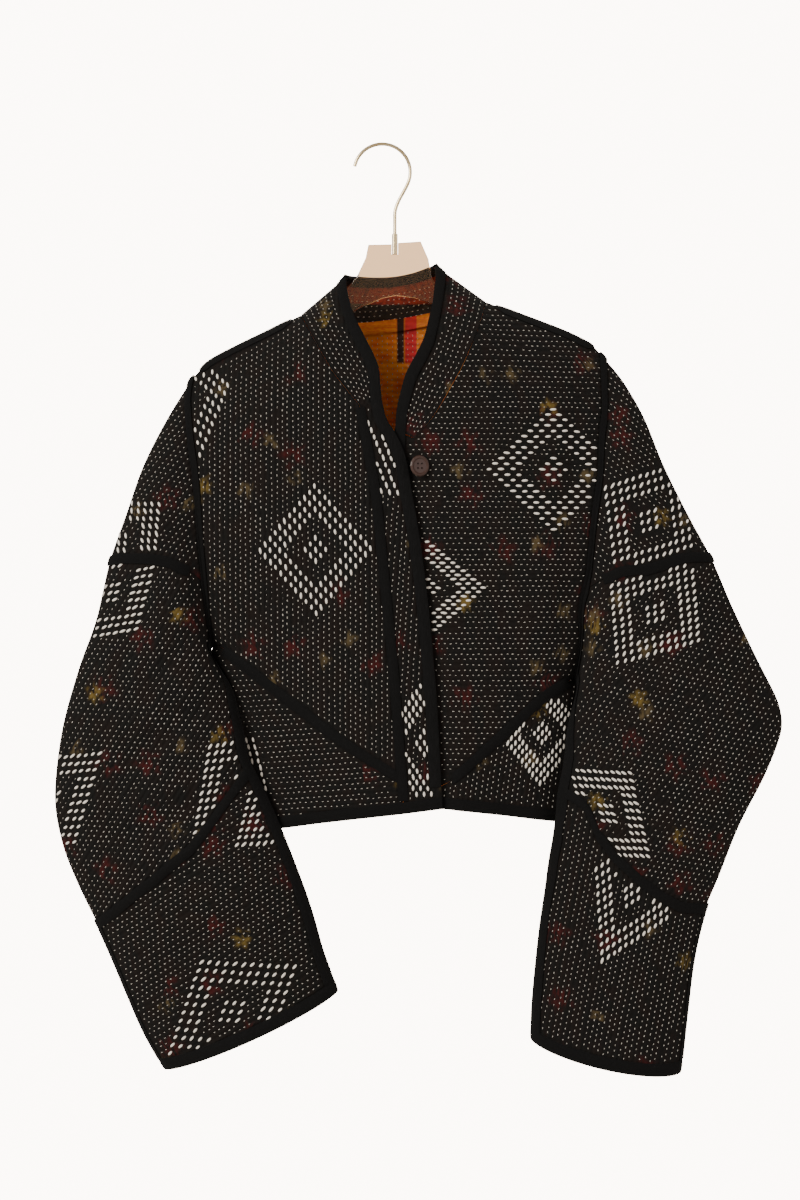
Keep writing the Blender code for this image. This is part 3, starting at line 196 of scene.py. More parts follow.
RIGHT_SLEEVE_TROUGHS = table("x0 z0 x1 z1 half deep", [
    (200, -440, 250, -500, 12, 2.5), (190, -520, 290, -560, 13, 3.0),
    (195, -600, 285, -600, 12, 2.5), (230, -330, 270, -440, 14, 2.0),
    (182, -500, 226, -486, 7, 1.7), (172, -552, 250, -588, 9, 1.8),
    (180, -580, 300, -560, 9, -1.5), (168, -640, 262, -622, 9, 1.9),
    (208, -262, 236, -340, 9, 1.4), (160, -720, 240, -690, 9, 1.4),
    (318, -480, 336, -540, 10, -1.4),
])

# Each sleeve is a flattened tube. A row is one ring of it, from the outer edge to the inner
# (underarm) edge. The first ring is the armhole and the last the cuff. Front and back are its
# depths, forward is how far the ring lies in front of the hanger's plane, and sag is how far the
# front of the ring drops below its back.
RING = "outer_x outer_z inner_x inner_z front back forward sag"
LEFT_SLEEVE = table(RING, [
    (-173, -212, -153, -453, 24, 26, 0, 0), (-196, -251, -156, -457, 24, 25, 7, 0),
    (-216, -292, -153, -467, 24, 24, 12, 0), (-231, -336, -143, -481, 23, 22, 16, 0),
    (-245, -377, -135, -495, 23, 20, 19, 0), (-257, -430, -130, -513, 22, 18, 22, 0),
    (-272, -473, -125, -532, 22, 17, 25, 0), (-287, -529, -121, -553, 21, 16, 28, 0),
    (-293, -588, -108, -579, 21, 15, 31, 0), (-286, -630, -93, -612, 20, 15, 33, 0),
    (-272, -666, -80, -644, 20, 15, 34, 0), (-253, -705, -68, -676, 19, 15, 34, 1),
    (-240, -734, -61, -698, 19, 15, 34, 2), (-227, -765, -54, -723, 18, 15, 34, 4),
    (-212, -799, -47, -743, 18, 15, 34, 6), (-194, -831, -40, -762, 18, 15, 34, 8),
])
RIGHT_SLEEVE = table(RING, [
    (200, -191, 175, -484, 24, 26, 0, 0), (218, -214, 177.5, -491, 24, 25, 6, 0),
    (237, -248, 175, -503, 24, 24, 11, 0), (254, -291, 171, -517, 23, 22, 15, 0),
    (277, -338, 168, -531, 23, 20, 18, 0), (296, -374, 166, -545, 22, 18, 22, 0),
    (315, -419, 164, -560, 22, 17, 25, 0), (337, -466, 161, -574, 21, 16, 28, 0),
    (355, -503, 158, -589, 21, 15, 30, 0), (358, -529, 157, -603, 20, 15, 31, 0),
    (344, -567, 154, -625, 20, 15, 32, 0), (320, -614, 150, -648, 20, 15, 32, 0),
    (302, -659, 147, -671, 19, 15, 32, 1), (289, -691, 142, -705, 19, 15, 32, 3),
    (279, -732, 138, -741, 18, 15, 32, 5), (273, -779, 135, -775, 18, 15, 32, 8),
    (267, -834, 134, -805, 18, 15, 32, 11),
])

# Seams across the sleeves: how far along the rings each lies, at each share of the way from the
# outer edge to the inner one.
LEFT_CROSS = table("across along", [
    (0, 4.0), (0.17, 3.4), (0.35, 2.7), (0.55, 1.85), (0.68, 0.9), (0.76, 0.0),
])
RIGHT_CROSS = table("across along", [
    (0, 5.0), (0.12, 4.4), (0.34, 3.5), (0.56, 2.1), (0.66, 1.0), (0.72, 0.0),
])
LEFT_LOWER = table("across along", [(0, 10.9), (0.35, 10.1), (0.58, 9.4), (0.86, 8.1), (1, 7.4)])
RIGHT_LOWER = table("across along", [
    (0, 12.9), (0.18, 12.7), (0.34, 12.3), (0.5, 11.8), (0.65, 11.2), (0.79, 10.3), (0.9, 8.8),
    (1, 7.5),
])

# The hanger plate's left and right outlines below its top edge, and the arch of its lower edge.
PLATE_LEFT = table("x z", [
    (-12.5, -90), (-15, -102), (-22, -117), (-28, -125), (-42, -137), (-62, -152),
])
PLATE_RIGHT = table("x z", [(35, -87), (42, -103), (44, -115), (46, -122), (58, -132), (80, -141)])
PLATE_ARCH = table("x z", [
    (-60, -174), (-36, -157), (-18, -146), (0, -138.5), (12, -136), (30, -138), (46, -144),
    (72, -156),
])
PLATE_ENDS = (-132.0, 164.0)


def dense(points, steps=10):
    """A smooth curve through the points, as a dense list of points."""
    points = np.asarray(points, float)
    spans = np.diff(points, axis=0)
    lengths = np.linalg.norm(spans, axis=1)
    before = np.concatenate([lengths[:1], lengths])
    after = np.concatenate([lengths, lengths[-1:]])
    runs = np.gradient(points, axis=0)
    runs /= np.linalg.norm(runs, axis=1)[:, None]
    runs *= np.minimum(before, after)[:, None]
    t = np.linspace(0, 1, steps, endpoint=False)[:, None]
    pieces = []
    for i, span in enumerate(spans):
        over = t * t * (3 - 2 * t)
        leave = t * (1 - t) ** 2
        arrive = t * t * (t - 1)
        pieces.append(points[i] + over * span + leave * runs[i] + arrive * runs[i + 1])
    return np.vstack(pieces + [points[-1:]])


def at_share(line, share):
    """Points at shares of a line's length."""
    steps = np.linalg.norm(np.diff(line, axis=0), axis=1)
    length = np.concatenate([[0], np.cumsum(steps)]) / steps.sum()
    return np.column_stack([np.interp(share, length, column) for column in line.T])


def ease(value):
    value = np.clip(value, 0, 1)
    return value * value * (3 - 2 * value)


def lens(across):
    """Depth of a flattened tube at a share of the way across it."""
    return np.clip(4 * across * (1 - across), 0, 1) ** LENS


def rounded(count, start=0.0, end=1.0):
    """Shares from start to end, closer together near 0 and 1."""
    angles = np.linspace(math.acos(1 - 2 * start), math.acos(1 - 2 * end), count)
    return (1 - np.cos(angles)) / 2


def troughs(rows, x, z):
    """How far the troughs pull the cloth in at a point."""
    total = np.zeros(np.shape(x))
    for x0, z0, x1, z1, half, deep in zip(*rows.values()):
        run = np.array([x1 - x0, z1 - z0])
        along = ((x - x0) * run[0] + (z - z0) * run[1]) / (run @ run)
        along = np.clip(along, 0, 1)
        away = np.hypot(x - x0 - along * run[0], z - z0 - along * run[1])
        total = total + deep * np.exp(-((away / half) ** 2))
    return total


left_line = dense(pairs(LEFT_EDGE))
right_line = dense(pairs(RIGHT_EDGE))
ridge_line = dense(pairs(RIDGE))
front_edge_line = dense(pairs(FRONT_EDGE))


def edge_x(line, z):
    return np.interp(-z, -line[:, 1], line[:, 0])


def ridge_z(x):
    return np.interp(x, ridge_line[:, 0], ridge_line[:, 1])


def body_depth(x, z, face):
    """How far the body's cloth lies from the hanger's plane."""
    left = edge_x(left_line, z)
    right = edge_x(right_line, z)
    across = (2 * x - left - right) / (right - left)
    tip = np.where(across < 0, LEFT_TIP, RIGHT_TIP)
    pit = np.where(across < 0, LEFT_PIT, RIGHT_PIT)
    near_edge = np.clip(np.abs(across), 0, 1)
    beyond_neck = (np.abs(x - NECK_MIDDLE) - NECK_HALF_WIDTH * 0.6) / NECK_HALF_WIDTH
    reach = RIDGE_REACH_NECK + (RIDGE_REACH_TIP - RIDGE_REACH_NECK) * ease(beyond_neck)
    fall = np.clip((ridge_z(x) - z) / reach, 0, 1)
    over = np.sqrt(1 - (1 - fall) ** 2)
    below = ease((pit + 30 - z) / 80)
    full = (1 - near_edge ** (7 - 4.3 * below)) ** (1 - 0.52 * below)
    side = ARMHOLE_DEPTH[face] * lens(np.clip((tip - z) / (tip - pit), 0, 1))
    middle = np.interp(-z, -BODY["z"], BODY[face]) * over
    rows = FRONT_TROUGHS if face == "front" else BACK_TROUGHS
    depth = side + (middle - side) * full - troughs(rows, x, z) * full * over
    return np.maximum(depth, SEAM / 2)


def front(x, z):
    return np.stack([x, -body_depth(x, z, "front"), z], axis=-1)


def back(x, z):
    return np.stack([x, body_depth(x, z, "back"), z], axis=-1)


def front_under(x, z):
    """The right front, which rolls in behind the left front's edge."""
    points = front(x, z)
    roll = ease((edge_x(front_edge_line, z) + WRAP_ROLL - x) / WRAP_ROLL)
    points[..., 1] += WRAP * roll
    return points


class Sleeve:
    """One sleeve's surface. Across is 0 at the outer edge and 1 at the inner one, and is negative
    on the back. Along counts the rings."""

    def __init__(self, rows, armhole, tip, pit, pulls):
        self.columns = dense(np.column_stack(list(rows.values())))
        self.last = len(rows["outer_x"]) - 1
        self.armhole = armhole
        self.tip = tip
        self.pit = pit
        self.pulls = pulls
        middle_x = np.mean(rows["outer_x"] + rows["inner_x"]) / 2
        self.inside = (middle_x, -18.0, np.mean(rows["outer_z"]))

    def point(self, along, across):
        along, across = np.broadcast_arrays(np.asarray(along, float), np.asarray(across, float))
        ring = np.linspace(0, self.last, len(self.columns))
        outer_x, outer_z, inner_x, inner_z, fore, aft, forward, sag = (
            np.interp(along, ring, column) for column in self.columns.T
        )
        share = np.abs(across)
        x = outer_x + (inner_x - outer_x) * share
        z = outer_z + (inner_z - outer_z) * share
        start = self.columns[0]
        hole_z = self.tip + (self.pit - self.tip) * share
        bow = edge_x(self.armhole, hole_z) - (start[0] + (start[2] - start[0]) * share)
        x = x + bow * np.clip(1 - along / 2, 0, 1) ** 2
        is_front = across >= 0
        depth = np.where(is_front, fore, aft) * lens(share)
        fade = ease(along / 2) * lens(share)
        depth = np.maximum(depth - troughs(self.pulls, x, z) * fade, SEAM / 2)
        y = -forward + np.where(is_front, -depth, depth)
        z = z - np.where(is_front, sag, 0) * lens(share)
        return np.stack([x, y, z], axis=-1)

    def level(self, along):
        """Where the front of a ring meets its back."""
        ring = np.linspace(0, self.last, len(self.columns))
        return -np.interp(along, ring, self.columns[:, 6])

    def step(self, along, across, length):
        """The change in along that moves a point by a length."""
        small = 0.02
        moved = self.point(along + small, across) - self.point(along - small, across)
        return length / (np.linalg.norm(moved, axis=-1) / (2 * small))


left_sleeve = Sleeve(LEFT_SLEEVE, left_line, LEFT_TIP, LEFT_PIT, LEFT_SLEEVE_TROUGHS)
right_sleeve = Sleeve(RIGHT_SLEEVE, right_line, RIGHT_TIP, RIGHT_PIT, RIGHT_SLEEVE_TROUGHS)
BODY_INSIDE = (20.0, 0.0, -400.0)
COLLAR_INSIDE = (10.0, -2.0, -190.0)

panels = {}
SEED = 7
STITCH_ROW = 4.7
STITCH_PITCH = 5.1
STITCH_LONG, STITCH_WIDE, STITCH_HIGH = 1.7, 0.9, 0.4
BIG_LONG, BIG_WIDE, BIG_HIGH = 6.1, 2.5, 1.1
STITCH_SINK = 0.15
# A point of the photo's frame, in millimetres from the crook.
FRAME_SCALE = 0.9
FRAME_ORIGIN = (382.0, 142.0)

# Material slots that several pieces share.
CLOTH_SLOT = "quilted cloth"
BINDING_SLOT = "black binding"

# The share of the stitches that wear has taken.
WORN_AWAY = 0.03

# The plate's bevel, and the strip over the collar's seam, in millimetres.
PLATE_BEVEL = 1.1
FACING_GAP = 0.4
FACING_THICK = 0.9

# The studio: its floor in millimetres, and the strength of its light.
FLOOR = -1450.0
FLOOR_REACH = 2000.0
WORLD_COLOUR = (1.0, 0.90, 0.80, 1)
WORLD_STRENGTH = 0.5
WALL_STRENGTH = 11.0
THROUGH_STRENGTH = 2.6

# The camera: its sensor in millimetres, the photo's height in millimetres at the jacket's plane, and
# the plane, the camera and the lights' target in metres.
SENSOR = 36.0
FRAME_HEIGHT = 1080.0
JACKET_PLANE = -0.02
CAMERA = (0.0162, -2.4, -0.4122)
CENTRE = (0.016, 0.0, -0.42)

# The lining's stripes: where each starts and ends across it, in metres, and its colour.
LINE_INKS = (
    (0.0135, 0.0198, (0.03, 0.012, 0.01, 1)),
    (0.0207, 0.0315, (0.62, 0.03, 0.035, 1)),
)
# The binding's black, as new and where it is worn.
TAPE_BLACKS = ((0.0028, 0.0029, 0.0031, 1), (0.0062, 0.0062, 0.0065, 1))

# The panels' flat cuts, in metres: width and length.
FLAT = {
    "front_left_upper": (0.21, 0.45),
    "front_left_side": (0.20, 0.18),
    "placket": (0.04, 0.38),
    "front_right_upper": (0.22, 0.47),
    "front_right_side": (0.17, 0.14),
    "back": (0.42, 0.50),
    "collar": (0.42, 0.06),
    "sleeve_left_cap": (0.26, 0.22),
    "sleeve_left_elbow": (0.42, 0.36),
    "sleeve_left_lower_front": (0.20, 0.28),
    "sleeve_left_lower_back": (0.20, 0.28),
    "sleeve_right_cap": (0.32, 0.24),
    "sleeve_right_elbow": (0.46, 0.36),
    "sleeve_right_lower_front": (0.18, 0.27),
    "sleeve_right_lower_back": (0.18, 0.27),
}

# Which panel each binding is sewn on.
BOUND = {
    "front_left_upper": ["shoulder_tape_left", "armhole_tape_left", "diagonal_tape_left"],
    "front_left_side": ["hem_tape_left"],
    "placket": ["placket_tape", "edge_tape_left"],
    "front_right_upper": ["shoulder_tape_right", "armhole_tape_right", "edge_tape_right"],
    "front_right_side": ["hem_tape_right", "diagonal_tape_right"],
    "back": ["hem_tape_back"],
    "collar": ["collar_tape"],
    "sleeve_left_cap": ["cross_tape_left"],
    "sleeve_left_elbow": ["lower_tape_left"],
    "sleeve_left_lower_front": ["cuff_tape_left", "outer_tape_left", "underarm_tape_left"],
    "sleeve_right_cap": ["cross_tape_right"],
    "sleeve_right_elbow": ["lower_tape_right"],
    "sleeve_right_lower_front": ["cuff_tape_right", "outer_tape_right", "underarm_tape_right"],
}

# How the running stitches lie on each panel: the direction of the rows, in degrees from level.
ROWS = {
    "front_left_upper": 90,
    "front_left_side": 4,
    "placket": 86,
    "front_right_upper": 0,
    "front_right_side": 82,
    "back": 90,
    "sleeve_left_cap": 48,
    "sleeve_left_elbow": 58,
    "sleeve_left_lower_front": 32,
    "sleeve_left_lower_back": 32,
    "sleeve_right_cap": -42,
    "sleeve_right_elbow": 50,
    "sleeve_right_lower_front": 78,
    "sleeve_right_lower_back": 78,
}

# Motifs of big stitches: centre, the halves of two neighbouring sides, the stitches' direction in
# degrees, and the panel that cuts them off, with the side of it that they show on.
DIAMONDS = [
    (316, 550, 27, -32, 28, 31, 98, "front_left_upper"),
    (181, 402, 17, -43, 30, 26, 105, "front_left_upper"),
    (344, 452, 46, 4, 16, 38, 103, "placket"),
    (424, 742, 20, -31, 20, 31, 95, "placket"),
    (553, 470, 32, -30, 32, 30, 0, "front_right_upper"),
    (428, 588, 27, -23, 28, 23, 0, "front_right_upper"),
    (542, 733, 22, -25, 20, 25, 78, "front_right_side"),
    (225, 782, 38, -4, 10, 38, 107, "front_left_side"),
    (119, 543, 38, 2, -3, 40, 115, "sleeve_left_cap"),
    (111, 593, 38, -6, -11, 42, 30, "sleeve_left_elbow"),
    (52, 800, 38, -4, -13, 44, 33, "sleeve_left_elbow"),
    (243, 782, 38, -5, -7, 42, 48, "sleeve_left_elbow"),
    (287, 800, 38, -2, -10, 40, 45, "sleeve_left_lower_front"),
    (234, 1006, 46, 3, -16, 46, 45, "sleeve_left_lower_front"),
    (648, 521, 38, -12, 5, 45, 63, "sleeve_right_cap"),
    (653, 613, 40, -11, 3, 38, 60, "sleeve_right_elbow"),
    (605, 811, 31, 1, 9, 41, -35, "sleeve_right_elbow"),
    (629, 890, 32, -21, 3, 45, 68, "sleeve_right_lower_front"),
    (382, 500, 33, -35, 33, 35, 90, "back"),
    (250, 640, 30, -31, 30, 31, 95, "back"),
    (500, 650, 31, -30, 30, 30, 86, "back"),
    (228, 400, 24, -36, 28, 30, 100, "back"),
    (150, 900, 38, -4, -12, 42, 40, "sleeve_left_lower_back"),
    (640, 940, 34, -16, 4, 44, 70, "sleeve_right_lower_back"),
    (130, 700, 38, -6, -11, 42, 35, "sleeve_left_elbow back"),
    (135, 530, 38, 2, -3, 40, 110, "sleeve_left_cap back"),
    (660, 690, 40, -11, 3, 38, 60, "sleeve_right_elbow back"),
    (650, 510, 38, -12, 5, 45, 63, "sleeve_right_cap back"),
]
DIAMOND_STEPS = 11


def frame_point(x, y):
    """A point of the picture's frame as x and z in millimetres."""
    return (x - FRAME_ORIGIN[0]) * FRAME_SCALE, (FRAME_ORIGIN[1] - y) * FRAME_SCALE


class Tree:
    """Adds nodes to a tree. An input is given as a value or as the socket that feeds it."""

    def __init__(self, tree):
        self.tree = tree

    def add(self, kind, inputs=None, out=0, **settings):
        made = self.tree.nodes.new(kind)
        for key, value in settings.items():
            setattr(made, key, value)
        for place, value in (inputs or {}).items():
            self.feed(made.inputs[place], value)
        return made.outputs[out]

    def feed(self, socket, value):
        if isinstance(value, bpy.types.NodeSocket):
            self.tree.links.new(value, socket)
        else:
            socket.default_value = value

    def math(self, operation, *values):
        return self.add("ShaderNodeMath", dict(enumerate(values)), operation=operation)

    def mix(self, share, first, second):
        """Mixed colours."""
        made = self.tree.nodes.new("ShaderNodeMix")
        made.data_type = "RGBA"
        for place, value in ((0, share), (6, first), (7, second)):
            self.feed(made.inputs[place], value)
        return made.outputs[2]

    def noise(self, scale, detail=3.0, vector=None):
        inputs = {"Scale": scale, "Detail": detail}
        if vector is not None:
            inputs["Vector"] = vector
        return self.add("ShaderNodeTexNoise", inputs)

    def between(self, value, low, high):
        """A value spread from 0 to 1 between two limits."""
        inputs = {0: value, 1: low, 2: high}
        return self.add("ShaderNodeMapRange", inputs, interpolation_type="SMOOTHSTEP")

    def place(self):
        return self.add("ShaderNodeTexCoord", out=3)

    def group(self, name, values):
        made = self.tree.nodes.new("ShaderNodeGroup")
        made.node_tree = bpy.data.node_groups[name]
        for place, value in values.items():
            self.feed(made.inputs[place], value)
        return made.outputs


def new_group(name, inputs, outputs):
    """A shader group with number inputs, and its two ends."""
    made = bpy.data.node_groups.new(name, "ShaderNodeTree")
    for label, value in inputs.items():
        socket = made.interface.new_socket(label, in_out="INPUT", socket_type="NodeSocketFloat")
        socket.default_value = value
    for label in outputs:
        made.interface.new_socket(label, in_out="OUTPUT", socket_type="NodeSocketFloat")
    tree = Tree(made)
    start = made.nodes.new("NodeGroupInput").outputs
    end = made.nodes.new("NodeGroupOutput").inputs
    return tree, start, end


def make_weave():
    """Fine plain weave: threads up and across."""
    tree, given, end = new_group("plain weave", {"Scale": 300.0}, ["Height"])
    place = tree.place()
    up, level = (
        tree.add(
            "ShaderNodeTexWave",
            {"Vector": place, "Scale": given["Scale"], "Distortion": 1.2, "Detail": 1.0},
            out=1,
            bands_direction=axis,
        )
        for axis in ("X", "Z")
    )
    tree.feed(end["Height"], tree.math("MAXIMUM", up, level))


def make_puckers():
    """The cloth's swell between the rows of stitches, which run at an angle from level."""
    inputs = {"Angle": 0.0, "Row": 0.0054, "Pitch": 0.0056}
    tree, given, end = new_group("quilted puckers", inputs, ["Height"])
    turned = tree.add(
        "ShaderNodeVectorRotate",
        {"Vector": tree.place(), "Angle": given["Angle"]},
        rotation_type="Y_AXIS",
    )
    parts = tree.tree.nodes.new("ShaderNodeSeparateXYZ")
    tree.feed(parts.inputs[0], turned)
    waves = []
    for axis, size in (("X", "Pitch"), ("Z", "Row")):
        turns = tree.math("DIVIDE", parts.outputs[axis], given[size])
        wave = tree.math("COSINE", tree.math("MULTIPLY", turns, 2 * math.pi))
        waves.append(tree.math("MULTIPLY_ADD", wave, -0.5, 0.5))
    swell = tree.math("MULTIPLY_ADD", waves[0], 0.3, waves[1])
    uneven = tree.noise(130.0)
    tree.feed(end["Height"], tree.math("MULTIPLY_ADD", uneven, 1.3, swell))


def make_flowers():
    """Scattered five-petalled prints, worn in patches."""
    inputs = {"Spacing": 0.05, "Size": 0.4, "Petals": 5.0, "Kept": 0.3, "Shift": 0.0}
    tree, given, end = new_group("faded flowers", inputs, ["Mask"])
    flat = tree.tree.nodes.new("ShaderNodeSeparateXYZ")
    tree.feed(flat.inputs[0], tree.place())
    over = tree.math("ADD", tree.math("DIVIDE", flat.outputs["X"], given["Spacing"]), given["Shift"])
    up = tree.math("ADD", tree.math("DIVIDE", flat.outputs["Z"], given["Spacing"]), given["Shift"])
    spot = tree.add("ShaderNodeCombineXYZ", {"X": over, "Y": up})
    cells = tree.tree.nodes.new("ShaderNodeTexVoronoi")
    cells.voronoi_dimensions = "2D"
    cells.inputs["Scale"].default_value = 1.0
    tree.feed(cells.inputs["Vector"], spot)
    ends = {0: spot, 1: cells.outputs["Position"]}
    away = tree.add("ShaderNodeVectorMath", ends, operation="SUBTRACT")
    sides = tree.tree.nodes.new("ShaderNodeSeparateXYZ")
    tree.feed(sides.inputs[0], away)
    angle = tree.math("ARCTAN2", sides.outputs["Y"], sides.outputs["X"])
    chance = tree.tree.nodes.new("ShaderNodeSeparateColor")
    tree.feed(chance.inputs[0], cells.outputs["Color"])
    petals = tree.math("MULTIPLY", angle, given["Petals"])
    turned = tree.math("MULTIPLY_ADD", chance.outputs[1], 6.0, petals)
    lobes = tree.math("MULTIPLY_ADD", tree.math("COSINE", turned), 0.18, 0.78)
    reach = tree.math("MULTIPLY", lobes, given["Size"])
    share = tree.math("DIVIDE", cells.outputs["Distance"], reach)
    ragged = tree.math("MULTIPLY_ADD", tree.noise(260.0), 1.0, share)
    petal = tree.math("SUBTRACT", 1.0, tree.between(ragged, 0.8, 1.7))
    kept = tree.math("LESS_THAN", chance.outputs[0], given["Kept"])
    worn = tree.between(tree.noise(34.0), 0.38, 0.62)
    tree.feed(end["Mask"], tree.math("MULTIPLY", tree.math("MULTIPLY", petal, kept), worn))


def new_material(name):
    made = bpy.data.materials.new(name)
    made.use_nodes = True
    shader = made.node_tree.nodes["Principled BSDF"]
    return made, Tree(made.node_tree), shader


def relief(tree, shader, heights):
    """Bumps one on the other, each a height with its distance in metres."""
    normal = None
    for height, distance in heights:
        inputs = {"Height": height, "Distance": distance, "Strength": 1.0}
        if normal is not None:
            inputs["Normal"] = normal
        normal = tree.add("ShaderNodeBump", inputs)
    tree.feed(shader.inputs["Normal"], normal)


cloth_finishes = {}


def cloth_finish(angle):
    """The printed cotton, with its rows of stitches at an angle."""
    if angle in cloth_finishes:
        return cloth_finishes[angle]
    made, tree, shader = new_material(f"printed cotton {angle}")
    shift = angle * 0.137
    patches = tree.between(tree.noise(14.0), 0.35, 0.7)
    colour = tree.mix(patches, (0.0040, 0.0040, 0.0036, 1), (0.0090, 0.0060, 0.0048, 1))
    for spacing, size, petals, kept, ink in PRINTS:
        values = {"Spacing": spacing, "Size": size, "Petals": petals, "Kept": kept}
        values["Shift"] = shift + petals
        mask = tree.group("faded flowers", values)[0]
        colour = tree.mix(mask, colour, ink)
    lint = tree.between(tree.noise(420.0, 2.0), 0.62, 0.8)
    colour = tree.mix(tree.math("MULTIPLY", lint, 0.05), colour, (0.14, 0.13, 0.12, 1))
    tree.feed(shader.inputs["Base Color"], colour)
    tree.feed(shader.inputs["Roughness"], tree.math("MULTIPLY_ADD", patches, 0.1, 0.82))
    shader.inputs["Sheen Weight"].default_value = 0.02
    shader.inputs["Sheen Roughness"].default_value = 0.5
    shader.inputs["Specular IOR Level"].default_value = 0.16
    values = {"Angle": math.radians(angle), "Row": STITCH_ROW * METRES, "Pitch": STITCH_PITCH * METRES}
    puckers = tree.group("quilted puckers", values)["Height"]
    weave = tree.group("plain weave", {"Scale": 330.0})["Height"]
    relief(tree, shader, [(puckers, 0.0007), (weave, 0.00008)])
    cloth_finishes[angle] = made
    return made


def band_mask(tree, value, low, high, soft=0.0008):
    """1 between two limits and 0 outside them."""
    rise = tree.between(value, low - soft, low + soft)
    fall = tree.between(value, high - soft, high + soft)
    return tree.math("SUBTRACT", rise, fall)


def lining_finish():
    """The cloth's other face: ochre and rust, with a dark and a red stripe."""
    made, tree, shader = new_material("rust lining")
    parts = tree.tree.nodes.new("ShaderNodeSeparateXYZ")
    tree.feed(parts.inputs[0], tree.place())
    patches = tree.between(tree.noise(38.0), 0.35, 0.65)
    colour = tree.mix(patches, (0.78, 0.28, 0.030, 1), (0.68, 0.15, 0.022, 1))
    upper = tree.between(parts.outputs["Z"], -0.196, -0.192)
    for low, high, ink in LINE_INKS:
        stripe = tree.math("MULTIPLY", band_mask(tree, parts.outputs["X"], low, high), upper)
        colour = tree.mix(stripe, colour, ink)
    tree.feed(shader.inputs["Base Color"], colour)
    shader.inputs["Roughness"].default_value = 0.9
    weave = tree.group("plain weave", {"Scale": 330.0})["Height"]
    puckers = tree.group("quilted puckers", {"Angle": 0.0, "Row": 0.0054, "Pitch": 0.0056})["Height"]
    relief(tree, shader, [(puckers, 0.0007), (weave, 0.00008)])
    return made


def collar_lining_finish():
    """The collar's inner face: dull red, with a black stripe by its seam."""
    made, tree, shader = new_material("collar lining")
    parts = tree.tree.nodes.new("ShaderNodeSeparateXYZ")
    tree.feed(parts.inputs[0], tree.place())
    patches = tree.between(tree.noise(46.0), 0.35, 0.65)
    colour = tree.mix(patches, (0.24, 0.03, 0.018, 1), (0.11, 0.016, 0.012, 1))
    stripe = band_mask(tree, parts.outputs["Z"], -0.158, -0.140)
    colour = tree.mix(stripe, colour, (0.010, 0.009, 0.009, 1))
    tree.feed(shader.inputs["Base Color"], colour)
    shader.inputs["Roughness"].default_value = 0.9
    weave = tree.group("plain weave", {"Scale": 330.0})["Height"]
    relief(tree, shader, [(weave, 0.00008)])
    return made


def binding_finish():
    made, tree, shader = new_material("matt black tape")
    worn = tree.between(tree.noise(60.0), 0.45, 0.75)
    tree.feed(shader.inputs["Base Color"], tree.mix(worn, *TAPE_BLACKS))
    tree.feed(shader.inputs["Roughness"], tree.math("MULTIPLY_ADD", worn, 0.1, 0.78))
    shader.inputs["Sheen Weight"].default_value = 0.02
    shader.inputs["Specular IOR Level"].default_value = 0.12
    weave = tree.group("plain weave", {"Scale": 420.0})["Height"]
    relief(tree, shader, [(tree.noise(90.0), 0.0006), (weave, 0.00006)])
    return made


def thread_finish(name, dim, light):
    """Cotton thread, each stitch of it a little lighter or darker."""
    made, tree, shader = new_material(name)
    dull = tree.between(tree.noise(260.0, 1.0), 0.38, 0.6)
    tree.feed(shader.inputs["Base Color"], tree.mix(dull, dim, light))
    shader.inputs["Roughness"].default_value = 0.85
    relief(tree, shader, [(tree.noise(1500.0), 0.0001)])
    return made


def plate_finish():
    made, tree, shader = new_material("smoky clear plate")
    parts = tree.tree.nodes.new("ShaderNodeSeparateXYZ")
    tree.feed(parts.inputs[0], tree.tree.nodes.new("ShaderNodeNewGeometry").outputs["Normal"])
    # Painted shade: faces turned away from y, the plate's rims and bevels, get a darker brown than its
    # broad faces.
    flat = tree.between(tree.math("ABSOLUTE", parts.outputs["Y"]), 0.75, 0.97)
    tree.feed(shader.inputs["Base Color"], tree.mix(flat, (0.22, 0.10, 0.035, 1), (0.60, 0.40, 0.23, 1)))
    shader.inputs["Transmission Weight"].default_value = 1.0
    shader.inputs["IOR"].default_value = 1.35
    tree.feed(shader.inputs["Roughness"], tree.math("MULTIPLY", tree.noise(60.0), 0.06))
    return made


def metal_finish(name, light, dark, rough):
    made, tree, shader = new_material(name)
    tarnish = tree.between(tree.noise(150.0), 0.4, 0.7)
    tree.feed(shader.inputs["Base Color"], tree.mix(tarnish, light, dark))
    shader.inputs["Metallic"].default_value = 1.0
    tree.feed(shader.inputs["Roughness"], tree.math("MULTIPLY_ADD", tarnish, 0.15, rough))
    return made


def button_finish():
    made, tree, shader = new_material("brown button horn")
    streaks = tree.between(tree.noise(260.0, 4.0), 0.3, 0.7)
    colour = tree.mix(streaks, (0.060, 0.022, 0.013, 1), (0.024, 0.009, 0.006, 1))
    tree.feed(shader.inputs["Base Color"], colour)
    tree.feed(shader.inputs["Roughness"], tree.math("MULTIPLY_ADD", streaks, 0.15, 0.38))
    return made


def backdrop_finish():
    made, tree, shader = new_material("pale floor")
    grain = tree.noise(3.0)
    tree.feed(shader.inputs["Base Color"], tree.mix(grain, (0.86, 0.83, 0.79, 1), (0.82, 0.79, 0.75, 1)))
    shader.inputs["Roughness"].default_value = 0.95
    return made


# The cloth's prints: spacing in metres, size as a share of it, petals, share kept, and colour.
PRINTS = [
    (0.036, 0.42, 5.0, 0.26, (0.045, 0.0055, 0.0052, 1)),
    (0.023, 0.44, 4.0, 0.07, (0.080, 0.058, 0.026, 1)),
    (0.037, 0.30, 6.0, 0.04, (0.13, 0.088, 0.020, 1)),
]

